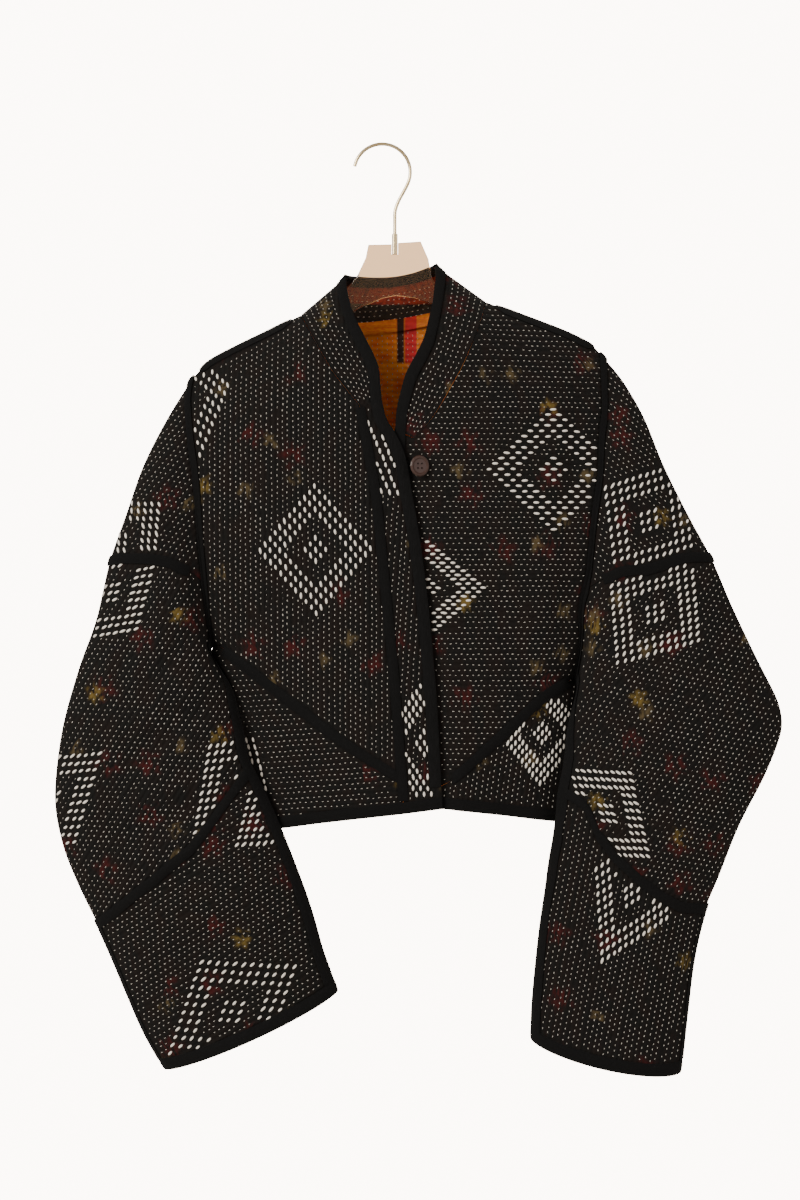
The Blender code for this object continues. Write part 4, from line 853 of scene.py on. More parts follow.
make_weave()
make_puckers()
make_flowers()
LINING = lining_finish()
COLLAR_LINING = collar_lining_finish()
BINDING = binding_finish()
THREAD = thread_finish("fine cotton thread", (0.085, 0.08, 0.07, 1), (0.84, 0.81, 0.74, 1))
BRIGHT_THREAD = thread_finish("thick cotton thread", (0.78, 0.74, 0.66, 1), (0.93, 0.90, 0.84, 1))
PLATE = plate_finish()
BRASS = metal_finish("brass wire", (0.86, 0.70, 0.42, 1), (0.66, 0.50, 0.27, 1), 0.2)

pieces = {}
panel_normals = {}


def add_object(name, data, *finishes):
    obj = bpy.data.objects.new(name, data)
    bpy.context.scene.collection.objects.link(obj)
    for finish in finishes:
        data.materials.append(finish)
    return obj


def hung(obj, node):
    """Hangs a piece on the body, in a node's place."""
    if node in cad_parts:
        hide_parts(node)
    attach(obj, "root")
    pieces[node] = obj
    return obj


def mesh_from(name, points, faces, marks=None):
    """A smooth mesh of points in millimetres, with each face's finish."""
    data = bpy.data.meshes.new(name)
    data.from_pydata((np.asarray(points) * METRES).tolist(), [], faces)
    if marks is not None:
        data.polygons.foreach_set("material_index", marks)
    return data


def sheet(name, outer, inner, finish, closed=False):
    """A closed wall between two grids of points. Its inner face has its own finish."""
    rows, columns = outer.shape[:2]
    turns = rows if closed else rows - 1
    points = np.concatenate([outer.reshape(-1, 3), inner.reshape(-1, 3)])
    other = rows * columns
    faces, marks = [], []
    for i in range(turns):
        here, after = i * columns, (i + 1) % rows * columns
        for j in range(columns - 1):
            a, b, c, d = here + j, after + j, after + j + 1, here + j + 1
            faces += [(a, b, c, d), (other + d, other + c, other + b, other + a)]
            marks += [0, 1]
        for j in (0, columns - 1):
            ends = (here + j, after + j, other + after + j, other + here + j)
            faces.append(ends[::-1] if j == 0 else ends)
            marks.append(0)
    if not closed:
        for row in (0, (rows - 1) * columns):
            for j in range(columns - 1):
                ends = (row + j, row + j + 1, other + row + j + 1, other + row + j)
                faces.append(ends if row == 0 else ends[::-1])
                marks.append(0)
    is_facing = finish == "facing"
    is_cloth = finish == CLOTH_SLOT
    label = f"{name}_cloth" if is_cloth else f"{name}_sewn"
    data = mesh_from(label, points, faces, marks)
    mesh = bmesh.new()
    mesh.from_mesh(data)
    bmesh.ops.recalc_face_normals(mesh, faces=mesh.faces)
    for face in mesh.faces:
        face.smooth = True
    mesh.to_mesh(data)
    mesh.free()
    data.set_sharp_from_angle(angle=math.radians(48))
    if is_cloth:
        lining = COLLAR_LINING if name == "collar" else LINING
        obj = add_object(label, data, cloth_finish(ROWS.get(name, 90)), lining)
    else:
        strip = LINING if is_facing else BINDING
        obj = add_object(label, data, strip, strip)
    return hung(obj, name)


def cloth(name, points, normals, level, seams=()):
    """A panel. Its wall grows in from its points and stays on its side of the level, where the
    front meets the back. Seams give the wall's direction at some of the points."""
    panels[name] = points
    side = np.where(points[..., 1] < level, -1, 1)
    normals = normals.copy()
    normals[..., 1][np.abs(points[..., 1] - level) < FOLD] = 0
    for place, direction in seams:
        normals[place] = direction
    normals /= np.linalg.norm(normals, axis=-1, keepdims=True)
    inner = points - normals * CLOTH
    inner[..., 1] = level + side * np.maximum(side * (inner[..., 1] - level), SEAM / 2)
    sheet(name, points, inner, CLOTH_SLOT)


TAPE_SHARES = (0.0, 0.14, 0.5, 0.86, 1.0)
TAPE_RISE = (0.45, 0.95, 1.2, 0.95, 0.45)


def tape(name, grid, inside, closed=False, lift=LIFT):
    """A binding laid on a panel's points, crowned across."""
    if grid.shape[1] < len(TAPE_SHARES):
        grid = np.array([at_share(row, TAPE_SHARES) for row in grid])
    normals = grid_normals(grid, inside, closed)
    low_ends = np.ones(len(grid))
    if not closed:
        low_ends[[0, -1]] = 0.3
    rise = lift + TAPE * np.outer(low_ends, TAPE_RISE[: grid.shape[1]])[:, :, None]
    sheet(name, grid + normals * rise, grid + normals * lift, BINDING_SLOT, closed)


def grid_normals(grid, inside, closed=False):
    """Unit normals of a grid of points, away from the inside point."""
    rows = np.concatenate([grid[-1:], grid, grid[:1]]) if closed else grid
    down = np.gradient(rows, axis=0)
    across = np.gradient(rows, axis=1)
    normals = np.cross(down, across)
    normals = normals[1:-1] if closed else normals
    normals /= np.linalg.norm(normals, axis=-1, keepdims=True)
    facing = (normals * (grid - np.array(inside))).sum()
    return normals * np.sign(facing)


def walk(points, length):
    """The point at a length along a run of points."""
    steps = np.linalg.norm(np.diff(points, axis=0), axis=1)
    covered = np.concatenate([[0], np.cumsum(steps)])
    return np.array([np.interp(length, covered, column) for column in points.T])


def armhole_directions(sleeve, across, away):
    """Unit vectors square to an armhole seam. Towards the armpit they turn to away, which is the
    direction of x that the piece's own wall must leave."""
    near = np.sign(across) * np.clip(np.abs(across), 0.004, 0.996)
    run = sleeve.point(0.0, near + 0.002) - sleeve.point(0.0, near - 0.002)
    out = np.cross(run, (1.0, 0.0, 0.0))
    out /= np.linalg.norm(out, axis=-1, keepdims=True)
    centre = sleeve.point(0.0, 0.5)
    centre[1] = 0
    out *= np.sign((out * (sleeve.point(0.0, near) - centre)).sum())
    turn = np.clip((np.abs(across) - PIT_TURN) / (1 - PIT_TURN), 0, 1)[:, None] * math.pi / 2
    return out * np.cos(turn) + np.array([away, 0.0, 0.0]) * np.sin(turn)


def body_directions(x, z, face):
    """The outward directions of the body's cloth."""
    small = 0.6
    slope_x = (face(x + small, z)[..., 1] - face(x - small, z)[..., 1]) / (2 * small)
    slope_z = (face(x, z + small)[..., 1] - face(x, z - small)[..., 1]) / (2 * small)
    out = 1.0 if face is back else -1.0
    return np.stack([-out * slope_x, np.full(np.shape(x), out), -out * slope_z], axis=-1)


def body_panel(name, x, z, face, armholes=(), seam=None):
    """A body panel. A seam gives the row that it shares with the next panel, and its points."""
    points = face(x, z)
    normals = body_directions(x, z, face)
    out = 1 if face is back else -1
    if seam is not None:
        row, line = seam
        normals[:, row] = body_directions(line[:, 0], line[:, 1], face)
    seams = []
    for column, side in armholes:
        shares = armhole_shares(side)
        sleeve = left_sleeve if side == "left" else right_sleeve
        across = np.maximum(shares, 1e-6) * -out
        away = -1.0 if side == "left" else 1.0
        directions = armhole_directions(sleeve, across, away)
        if points.shape[1] > len(shares) - 1:
            seams.append(((column, slice(0, len(shares))), directions))
        else:
            seams.append(((column, 0), directions[-1]))
    cloth(name, points, normals, np.zeros(x.shape), seams)


def sleeve_panel(name, sleeve, along, across, at_armhole=None):
    points = sleeve.point(along, across)
    small = 0.02
    down = sleeve.point(along + small, across) - sleeve.point(along - small, across)
    near = np.sign(across) * np.clip(np.abs(across), 0.004, 0.996)
    around = sleeve.point(along, near + 0.002) - sleeve.point(along, near - 0.002)
    normals = np.cross(down, around)
    normals /= np.linalg.norm(normals, axis=-1, keepdims=True)
    middle = sleeve.point(along, 0.5)
    middle[..., 1] = sleeve.level(along)
    normals *= np.sign((normals * (points - middle)).sum())
    seams = []
    if at_armhole is not None:
        away = 1.0 if sleeve is left_sleeve else -1.0
        seams.append(((at_armhole, 0), armhole_directions(sleeve, across[at_armhole, 0], away)))
    cloth(name, points, normals, sleeve.level(along), seams)


def patch(top, bottom, left, right):
    """A grid of (x, z) points filling four lines of points: top and bottom run left to right,
    left and right run downwards."""
    left, right = left.copy(), right.copy()
    left[0], right[0], left[-1], right[-1] = top[0], top[-1], bottom[0], bottom[-1]
    u = shares_of(top)[:, None, None]
    v = shares_of((left + right) / 2)[None, :, None]
    blend = (1 - v) * top[:, None] + v * bottom[:, None] + (1 - u) * left[None] + u * right[None]
    top_corners = (1 - v) * ((1 - u) * top[0] + u * top[-1])
    foot_corners = v * ((1 - u) * bottom[0] + u * bottom[-1])
    grid = blend - top_corners - foot_corners
    return grid[..., 0], grid[..., 1]


def shares_of(line):
    """How far along a line each of its points is."""
    steps = np.linalg.norm(np.diff(line, axis=0), axis=1)
    return np.concatenate([[0], np.cumsum(steps)]) / steps.sum()


def cut(line, high, low):
    """The part of a falling line between two heights."""
    inner = line[(line[:, 1] < high) & (line[:, 1] > low)]
    ends = [(edge_x(line, z), z) for z in (high, low)]
    return np.vstack([ends[:1], inner, ends[1:]])


def near_start(count):
    """Shares from 0 to 1, closer together near 0."""
    return 1 - np.cos(np.linspace(0, math.pi / 2, count))


def shifted(line, dx=0.0, dz=0.0):
    return line + np.array([dx, dz])


collar_left_line = dense(pairs(COLLAR_SEAM_LEFT))
collar_right_line = dense(pairs(COLLAR_SEAM_RIGHT))
back_neck_line = dense(pairs(BACK_NECK))
placket_line = dense(pairs(PLACKET_SEAM))
under_line = dense(pairs(UNDER_EDGE))
diagonal_left_line = dense(pairs(DIAGONAL_LEFT))
diagonal_right_line = dense(pairs(DIAGONAL_RIGHT))[::-1]
hem_left_line = dense(pairs(HEM_FRONT_LEFT))
hem_right_line = dense(pairs(HEM_FRONT_RIGHT))
hem_back_line = dense(pairs(HEM_BACK))
shoulder_left = ridge_line[ridge_line[:, 0] <= NECK_LEFT[0]]
shoulder_right = ridge_line[ridge_line[:, 0] >= NECK_RIGHT[0]]
HEM_AT_PLACKET = -603.5
DIAGONAL_AT_PLACKET = -573.0
DIAGONAL_AT_EDGE = -590.0

# Shares down an armhole from the shoulder tip. The cap ends at CAP_END of the way.
CAP_END = {"left": 0.758, "right": 0.718}
CAP_SHARES = 20
LOW_SHARES = 14
CROSS_TRIM = 2
LOWER_TRIM = 4
UNDERARM_WIDTHS = (-2.0, 0, 6.0, 11.5)


def armhole_shares(side):
    end = CAP_END[side]
    cap = rounded(2 * CAP_SHARES - 1)[:CAP_SHARES] * 2 * end
    low = end + (1 - end) * (1 - near_start(LOW_SHARES)[::-1])
    return np.concatenate([cap, low[1:]])


def armhole_points(side):
    if side == "left":
        line, tip, pit = left_line, LEFT_TIP, LEFT_PIT
    else:
        line, tip, pit = right_line, RIGHT_TIP, RIGHT_PIT
    z = tip + (pit - tip) * armhole_shares(side)
    return np.column_stack([edge_x(line, z), z])


SIDE_ROWS = 18
COLLAR_STEPS = 30
collar_shares = np.linspace(0, 1, COLLAR_STEPS + 1)
collar_left_seam = at_share(collar_left_line, collar_shares)
collar_right_seam = at_share(collar_right_line, collar_shares)
collar_back_seam = at_share(back_neck_line, collar_shares)
shoulder_left_points = at_share(shoulder_left, near_start(22))
shoulder_right_points = at_share(shoulder_right, 1 - near_start(22)[::-1])
front_left_top = np.vstack([shoulder_left_points, collar_left_seam[1:]])
under_top = at_share(np.vstack([under_line[:1], collar_right_seam[-1:]]), np.linspace(0, 1, 5)[:-1])
front_right_top = np.vstack([under_top, collar_right_seam[::-1], shoulder_right_points[1:]])
back_top = np.vstack([shoulder_left_points, collar_back_seam[1:], shoulder_right_points[1:]])
diagonal_left_points = at_share(diagonal_left_line, shares_of(front_left_top))
diagonal_right_points = at_share(diagonal_right_line, shares_of(front_right_top))


def side_line(line, high, low, count=SIDE_ROWS):
    return at_share(cut(line, high, low), np.linspace(0, 1, count))


def make_body():
    down = armhole_shares("left")
    seam = at_share(cut(placket_line, -238.0, DIAGONAL_AT_PLACKET), down)
    seam_low = side_line(placket_line, DIAGONAL_AT_PLACKET, HEM_AT_PLACKET)
    beside_seam = shifted(seam, dx=-SEAM / 2)
    left_top = front_left_top.copy()
    left_top[-1, 0] -= SEAM / 2
    diagonal = diagonal_left_points.copy()
    diagonal[-1, 0] -= SEAM / 2
    x, z = patch(left_top, shifted(diagonal, dz=SEAM / 2), armhole_points("left"), beside_seam)
    body_panel("front_left_upper", x, z, front, [(0, "left")], (-1, diagonal))

    hem = at_share(cut_across(hem_left_line, -122.0, placket_line[-1, 0]), shares_of(diagonal))
    side = side_line(left_line, LEFT_PIT, hem_left_line[0, 1])
    x, z = patch(shifted(diagonal, dz=-SEAM / 2), hem, side, shifted(seam_low, dx=-SEAM / 2))
    body_panel("front_left_side", x, z, front, [(0, "left")], (0, diagonal))

    band = np.linspace(0, 1, 9)
    top = at_share(np.vstack([seam[0], front_edge_line[0]]), band)
    seam_all = shifted(np.vstack([seam, seam_low[1:]]), dx=SEAM / 2)
    foot = at_share(cut_across(hem_left_line, placket_line[-1, 0], hem_left_line[-1, 0]), band)
    edge = at_share(front_edge_line, shares_of(seam_all))
    x, z = patch(top, foot, seam_all, edge)
    body_panel("placket", x, z, front)

    down = armhole_shares("right")
    under = at_share(cut(under_line, -262.0, DIAGONAL_AT_EDGE), down)
    foot = shifted(diagonal_right_points, dz=SEAM / 2)
    x, z = patch(front_right_top, foot, under, armhole_points("right"))
    body_panel("front_right_upper", x, z, front_under, [(-1, "right")], (-1, diagonal_right_points))

    hem = at_share(hem_right_line, shares_of(diagonal_right_points))
    under = side_line(under_line, DIAGONAL_AT_EDGE, -598.0)
    side = side_line(right_line, RIGHT_PIT, hem_right_line[-1, 1])
    x, z = patch(shifted(diagonal_right_points, dz=-SEAM / 2), hem, under, side)
    body_panel("front_right_side", x, z, front_under, [(-1, "right")], (0, diagonal_right_points))

    hem = at_share(hem_back_line, shares_of(back_top))
    left = np.vstack([armhole_points("left"), side_line(left_line, LEFT_PIT, hem_back_line[0, 1])[1:]])
    right_side = side_line(right_line, RIGHT_PIT, hem_back_line[-1, 1])
    right = np.vstack([armhole_points("right"), right_side[1:]])
    left[1:-1, 0] += ARMHOLE_GAP
    right[1:-1, 0] -= ARMHOLE_GAP
    x, z = patch(back_top, hem, left, right)
    body_panel("back", x, z, back, [(0, "left"), (-1, "right")])


def cut_across(line, low, high):
    """The part of a line that runs to the right between two values of x."""
    inner = line[(line[:, 0] > low + 0.5) & (line[:, 0] < high - 0.5)]
    ends = [(x, np.interp(x, line[:, 0], line[:, 1])) for x in (low, high)]
    return np.vstack([ends[:1], inner, ends[1:]])


def collar_rows():
    """The collar's seam and edge, point by point: left front, back, right front."""
    seams, edges = [], []
    for line, face, edge in (
        (collar_left_seam[::-1], front, COLLAR_LEFT),
        (collar_back_seam, back, COLLAR_BACK),
        (collar_right_seam, front_under, COLLAR_RIGHT),
    ):
        start = 0 if not seams else 1
        seams.append(face(line[:, 0], line[:, 1])[start:])
        free = dense(np.column_stack(list(edge.values())))
        edges.append(at_share(free, collar_shares)[start:])
    return np.vstack(seams), np.vstack(edges)


def ruled(seams, edges, shares):
    """Points between the seam, at 0, and the edge, at 1."""
    shares = np.asarray(shares)[None, :, None]
    return seams[:, None] * (1 - shares) + edges[:, None] * shares


def edge_band(seams, edges, widths):
    """Points at widths below the collar's free edge."""
    lengths = np.linalg.norm(seams - edges, axis=1)[:, None, None]
    share = np.minimum(np.array(widths)[None, :, None] / lengths, 0.94)
    return edges[:, None] * (1 - share) + seams[:, None] * share


def over_edge(seams, edges, normals, width, gap):
    """Points of a binding folded over the collar's free edge, a gap off the cloth."""
    low = edge_band(seams, edges, [width])[:, 0]
    middle = edge_band(seams, edges, [width / 2])[:, 0]
    lengths = np.linalg.norm(seams - edges, axis=1)
    at_edge = normals[:, -1]
    at_low = []
    for share, rows in zip(1 - width / lengths, normals):
        at_low.append([np.interp(share, COLLAR_COLUMNS, column) for column in rows.T])
    at_low = np.array(at_low)
    at_middle = (at_low + at_edge) / 2
    rise = np.array([0, 0, gap])
    columns = [
        low + at_low * gap,
        middle + at_middle * gap,
        edges + at_edge * gap + rise * 0.6,
        edges - at_edge * CLOTH / 2 + rise * 1.3,
        edges - at_edge * (CLOTH + gap) + rise * 0.6,
        middle - at_middle * (CLOTH + gap),
        low - at_low * (CLOTH + gap),
    ]
    return np.stack(columns, axis=1)


def make_collar():
    seams, edges = collar_rows()
    grid = ruled(seams, edges, COLLAR_COLUMNS)
    grid[0] += (grid[1] - grid[0]) * 0.03
    grid[-1] += (grid[-2] - grid[-1]) * 0.03
    normals = grid_normals(grid, COLLAR_INSIDE)
    panels["collar"], panel_normals["collar"] = grid, normals
    sheet("collar", grid, grid - normals * CLOTH, CLOTH_SLOT)

    left, right = COLLAR_STEPS, 2 * COLLAR_STEPS
    side = beside(front_edge_line[::-1], EDGE_WIDTH, -1)
    band = front(side[..., 0], side[..., 1])
    hem_top = front_edge_line[-1, 1] + HEM_WIDTH + TAPE_GAP
    band = band[(band[:, 0, 2] > hem_top) & (band[:, -1, 2] > hem_top)][::2]
    climb = edge_band(seams[: left + 1], edges[: left + 1], [0.0, EDGE_WIDTH / 2, EDGE_WIDTH])
    tape("edge_tape_left", np.vstack([band, climb[1:]]), BODY_INSIDE, lift=0.7)

    side = beside(under_line[::-1], EDGE_WIDTH, 1)
    band = front_under(side[..., 0], side[..., 1])
    hem_top = under_line[-1, 1] + HEM_WIDTH + TAPE_GAP
    band = band[(band[:, 0, 2] > hem_top + 2) & (band[:, 0, 2] < -269)][::2]
    climb = edge_band(seams[right:], edges[right:], [0.0, EDGE_WIDTH / 2, EDGE_WIDTH])[::-1]
    tape("edge_tape_right", np.vstack([band, climb[1:]]), BODY_INSIDE, lift=1.1)

    inner, outer = (
        over_edge(seams, edges, normals, COLLAR_TAPE, gap)[left : right + 1]
        for gap in (COLLAR_LIFT, COLLAR_LIFT + TAPE)
    )
    for grid in (inner, outer):
        grid[0] += (grid[1] - grid[0]) * 0.2
        grid[-1] += (grid[-2] - grid[-1]) * 0.2
    sheet("collar_tape", outer, inner, BINDING_SLOT)


def beside(line, width, side):
    """Points across a band beside a line of (x, z) points: on it and at its width."""
    run = np.gradient(line, axis=0)
    run /= np.linalg.norm(run, axis=1)[:, None]
    normal = np.column_stack([-run[:, 1], run[:, 0]])
    normal *= np.where(np.sign(normal[:, :1]) == side, 1, -1)
    across = np.array([0.0, 0.5, 1.0])[None, :, None] * width
    return line[:, None] + normal[:, None] * across


def astride(line, width):
    """Points across a band centred on a line of (x, z) points."""
    run = np.gradient(line, axis=0)
    run /= np.linalg.norm(run, axis=1)[:, None]
    normal = np.column_stack([-run[:, 1], run[:, 0]])
    across = np.array([-0.5, 0.0, 0.5])[None, :, None] * width
    return line[:, None] + normal[:, None] * across


def make_front_tapes():
    line = cut(placket_line, -240.0, HEM_AT_PLACKET + HEM_WIDTH + TAPE_GAP)
    grid = astride(at_share(line, np.linspace(0, 1, 50)), TAPE_WIDTH)
    tape("placket_tape", front(grid[..., 0], grid[..., 1]), BODY_INSIDE, lift=0.6)

    for name, first, last in (("left", 6, -1), ("right", 13, -6)):
        upper, lower = panels[f"front_{name}_upper"], panels[f"front_{name}_side"]
        rows = []
        for above, below in zip(upper[first:last], lower[first:last]):
            above = above[::-1]
            rows.append([walk(above, DIAGONAL_REACH), below[0], walk(below, DIAGONAL_REACH)])
        tape(f"diagonal_tape_{name}", np.array(rows), BODY_INSIDE, lift=0.6)


def hem_band(points, face):
    rise = np.array([0.0, 1.0]) * HEM_WIDTH
    x = np.repeat(points[:, :1], 2, axis=1)
    z = points[:, 1:] + rise
    return face(x, z)


def make_hem_tapes():
    hem = cut_across(hem_left_line, -122.0, placket_line[-1, 0])
    left = at_share(hem, shares_of(diagonal_left_points))
    band = cut_across(hem_left_line, placket_line[-1, 0], hem_left_line[-1, 0])
    points = np.vstack([left, at_share(band, np.linspace(0, 1, 9))[1:]])
    tape("hem_tape_left", hem_band(points, front), BODY_INSIDE)
    points = at_share(hem_right_line, shares_of(diagonal_right_points))
    tape("hem_tape_right", hem_band(points, front_under), BODY_INSIDE)
    points = at_share(hem_back_line, shares_of(back_top))
    tape("hem_tape_back", hem_band(points, back), BODY_INSIDE)


def make_shoulder_tapes():
    drops = (0.4, 0.0, 0.4, 2.5, 6.5)
    for name, line in (("left", shoulder_left_points), ("right", shoulder_right_points[::-1])):
        points = line[6:-1]
        narrow = np.ones(len(points))
        narrow[[0, 1, -1]] = 0.25, 0.7, 0.6
        columns = []
        for drop, face in zip(drops, (back, front, front, front, front)):
            columns.append(face(points[:, 0], points[:, 1] - drop * narrow))
        tape(f"shoulder_tape_{name}", np.stack(columns, axis=1), BODY_INSIDE, lift=0.8)


def sleeve_run(name, across):
    """The points of the cap or the elbow that leave the armhole at a share."""
    shares = armhole_shares(name)
    place = int(np.argmin(np.abs(shares - abs(across))))
    sign = 1 if across >= 0 else -1
    grid = panels[f"sleeve_{name}_cap"] if place < CAP_SHARES - 1 else panels[f"sleeve_{name}_elbow"]
    middle = len(grid) // 2
    return grid[middle + sign * place]


def make_armhole_tape(name, sleeve):
    """From the armpit's front over the shoulder tip to its back, half on the body."""
    shares = armhole_shares(name)
    upper = panels[f"front_{name}_upper"]
    fronts = upper if name == "left" else upper[::-1]
    backs = panels["back"] if name == "left" else panels["back"][::-1]
    rows = []
    reach = TAPE_WIDTH / 2
    last = len(shares) - 1
    for place, grid, sign in [(i, fronts, 1) for i in range(last, -1, -1)] + [
        (i, backs, -1) for i in range(1, last + 1)
    ]:
        seam = sleeve.point(0, sign * max(shares[place], 1e-6))
        on_body = walk(grid[:, place], reach)
        on_sleeve = walk(sleeve_run(name, sign * shares[place]), reach)
        rows.append([on_body, seam, on_sleeve])
    tape(f"armhole_tape_{name}", np.array(rows), BODY_INSIDE, lift=1.2)


def both_ways(half):
    """Shares from the back round the outer edge to the front."""
    return np.concatenate([-half[::-1], half[1:]])


def make_sleeve(name, sleeve, cross, lower):
    def cross_at(share):
        return np.interp(share, cross["across"], cross["along"])

    def lower_at(share):
        return np.interp(share, lower["across"], lower["along"])

    def rings(across, start, end, count):
        spans = np.linspace(0, 1, count)[None, :]
        along = start[:, None] * (1 - spans) + end[:, None] * spans
        return along, np.repeat(across[:, None], count, axis=1)

    shares = armhole_shares(name)
    across = both_ways(shares[:CAP_SHARES])
    seam = cross_at(np.abs(across))
    start = sleeve.step(0.1, across, ARMHOLE_GAP)
    end = seam - sleeve.step(np.maximum(seam, 0.1), across, SEAM / 2)
    end = np.maximum(end, start + 0.03)
    sleeve_panel(f"sleeve_{name}_cap", sleeve, *rings(across, start, end, 22), np.arange(len(across)))
    cap_foot = end + sleeve.step(end + 0.1, across, ARMHOLE_GAP)

    across = both_ways(shares)
    start = sleeve.step(0.1, across, ARMHOLE_GAP)
    low_count = len(shares) - CAP_SHARES
    start[low_count:-low_count] = cap_foot
    seam = lower_at(np.abs(across))
    end = seam - sleeve.step(seam, across, SEAM / 2)
    low = np.flatnonzero(np.abs(across) > shares[CAP_SHARES - 1] + 0.001)
    sleeve_panel(f"sleeve_{name}_elbow", sleeve, *rings(across, start, end, 46), low)

    for face, sign in (("front", 1), ("back", -1)):
        across = shares * sign
        across[0] = sign * 1e-6
        seam = lower_at(np.abs(across))
        start = seam + sleeve.step(seam, across, SEAM / 2)
        end = np.full(len(across), float(sleeve.last))
        sleeve_panel(f"sleeve_{name}_lower_{face}", sleeve, *rings(across, start, end, 30))

    make_armhole_tape(name, sleeve)
    make_sleeve_tapes(name, sleeve.inside)


def make_sleeve_tapes(name, inside):
    """Bindings laid on the meshes of the sleeve's panels."""
    cap, elbow = panels[f"sleeve_{name}_cap"], panels[f"sleeve_{name}_elbow"]
    low_front, low_back = panels[f"sleeve_{name}_lower_front"], panels[f"sleeve_{name}_lower_back"]
    lower = np.concatenate([low_back[::-1], low_front[1:]])
    half = TAPE_WIDTH / 2

    middle = len(cap) // 2
    extra = len(elbow) // 2 - middle
    rows = []
    for i in range(CROSS_TRIM, len(cap) - CROSS_TRIM):
        after, before = elbow[i + extra], cap[i][::-1]
        rows.append([walk(before, half), after[0], walk(after, half)])
    tape(f"cross_tape_{name}", np.array(rows), inside, lift=0.7)

    rows = []
    for i in range(LOWER_TRIM, len(elbow) - LOWER_TRIM):
        before, after = elbow[i][::-1], lower[i]
        rows.append([walk(before, half), after[0], walk(after, half)])
    tape(f"lower_tape_{name}", np.array(rows), inside, lift=0.7)

    rows = [[walk(run[::-1], CUFF_WIDTH), run[-1]] for run in lower]
    tape(f"cuff_tape_{name}", np.array(rows), inside, closed=True)

    def lengthwise(fronts, backs, widths):
        """Points across a band along an edge where the front's runs meet the back's."""
        rows = []
        for ring in range(fronts.shape[1]):
            row = [walk(backs[:, ring], -width) for width in widths if width < 0]
            rows.append(row + [walk(fronts[:, ring], width) for width in widths if width >= 0])
        return np.array(rows)

    trimmed_front, trimmed_back = trim_cuff(low_front), trim_cuff(low_back)
    rows = lengthwise(trimmed_front, trimmed_back, (-half, -half / 3, 0, half / 3, half))
    rows[0] = rows[0] * 0.5 + rows[1] * 0.5
    tape(f"outer_tape_{name}", rows, inside, lift=0.7)

    middle = len(elbow) // 2
    upper = lengthwise(elbow[middle:][::-1], elbow[: middle + 1], UNDERARM_WIDTHS)
    foot = lengthwise(trimmed_front[::-1], trimmed_back[::-1], UNDERARM_WIDTHS)
    tape(f"underarm_tape_{name}", np.vstack([upper[:-1], foot]), inside, lift=0.7)


def trim_cuff(grid):
    """A lower sleeve's runs, cut short above the cuff tape."""
    grid = grid.copy()
    for run in grid:
        run[-1] = walk(run[::-1], CUFF_WIDTH + TAPE_GAP)
    return grid


def wire_points():
    centre_z = WIRE_RADIUS - CROOK_RADIUS
    points = []
    for degrees in range(168, -36, -12):
        angle = math.radians(degrees)
        points.append((CROOK_RADIUS * math.cos(angle), 0, centre_z + CROOK_RADIUS * math.sin(angle)))
    last = np.array(points[-1])
    leave = math.radians(degrees)
    handle = last + 11 * np.array([math.sin(leave), 0, -math.cos(leave)])
    stem_top = np.array([STEM_X, 0, -63.0])
    for t in np.linspace(0, 1, 8)[1:]:
        before_stem = stem_top + np.array([0, 0, 10.0])
        curve = (1 - t) ** 3 * last + 3 * (1 - t) ** 2 * t * handle
        points.append(tuple(curve + 3 * (1 - t) * t * t * before_stem + t**3 * stem_top))
    points.append((STEM_X, 0, FERRULE_FOOT + FERRULE_FLOOR + SEAM))
    return points


def plate_top(x):
    """The height of the arms' top edge, a clear distance under the shoulders."""
    slope = (ridge_z(x + 2) - ridge_z(x - 2)) / 4
    return ridge_z(x) - PLATE_UNDER_RIDGE * math.hypot(1, slope)


def plate_outline():
    """The hanger plate's outline, clockwise from the top of its left side."""
    notch = FERRULE_RADIUS + SEAM
    points = [tuple(point) for point in pairs(PLATE_LEFT)]
    points = points[::-1]
    left_x = np.linspace(PLATE_ENDS[0], PLATE_LEFT["x"][-1] - 12, 6)
    right_x = np.linspace(PLATE_RIGHT["x"][-1] + 12, PLATE_ENDS[1], 6)
    top_left = [(x, plate_top(x)) for x in left_x]
    top_right = [(x, plate_top(x)) for x in right_x]
    outline = top_left + points
    outline += [(STEM_X - notch, -89.6), (STEM_X - notch, FERRULE_FOOT - SEAM)]
    outline += [(STEM_X + notch, FERRULE_FOOT - SEAM), (STEM_X + notch, -88.3)]
    outline += [tuple(point) for point in pairs(PLATE_RIGHT)] + top_right
    outline += arm_end(PLATE_ENDS[1], 1)
    foot_right = [(x, plate_top(x) - ARM_HEIGHT) for x in right_x[::-1]]
    foot_left = [(x, plate_top(x) - ARM_HEIGHT) for x in left_x[::-1]]
    outline += foot_right + [tuple(point) for point in pairs(PLATE_ARCH)[::-1]] + foot_left
    outline += arm_end(PLATE_ENDS[0], -1)
    return outline


def arm_end(x, side):
    """Points round the blunt end of an arm, downwards on the right and upwards on the left."""
    middle = plate_top(x) - ARM_HEIGHT / 2
    points = []
    for degrees in (55, 20, -20, -55):
        angle = math.radians(degrees * side)
        points.append((x + side * 9 * math.cos(angle), middle + ARM_HEIGHT / 2 * 0.95 * math.sin(angle)))
    return points


def make_hook():
    data = bpy.data.curves.new("brass_hook", "CURVE")
    data.dimensions = "3D"
    data.bevel_depth = WIRE_RADIUS * METRES
    data.bevel_resolution = 6
    data.use_fill_caps = True
    points = dense(np.array(wire_points()), 4)
    spline = data.splines.new("POLY")
    spline.points.add(len(points) - 1)
    for target, point in zip(spline.points, points):
        target.co = (*(np.array(point) * METRES), 1)
    spline.use_smooth = True
    hung(add_object("brass_hook", data, BRASS), "hook_wire")


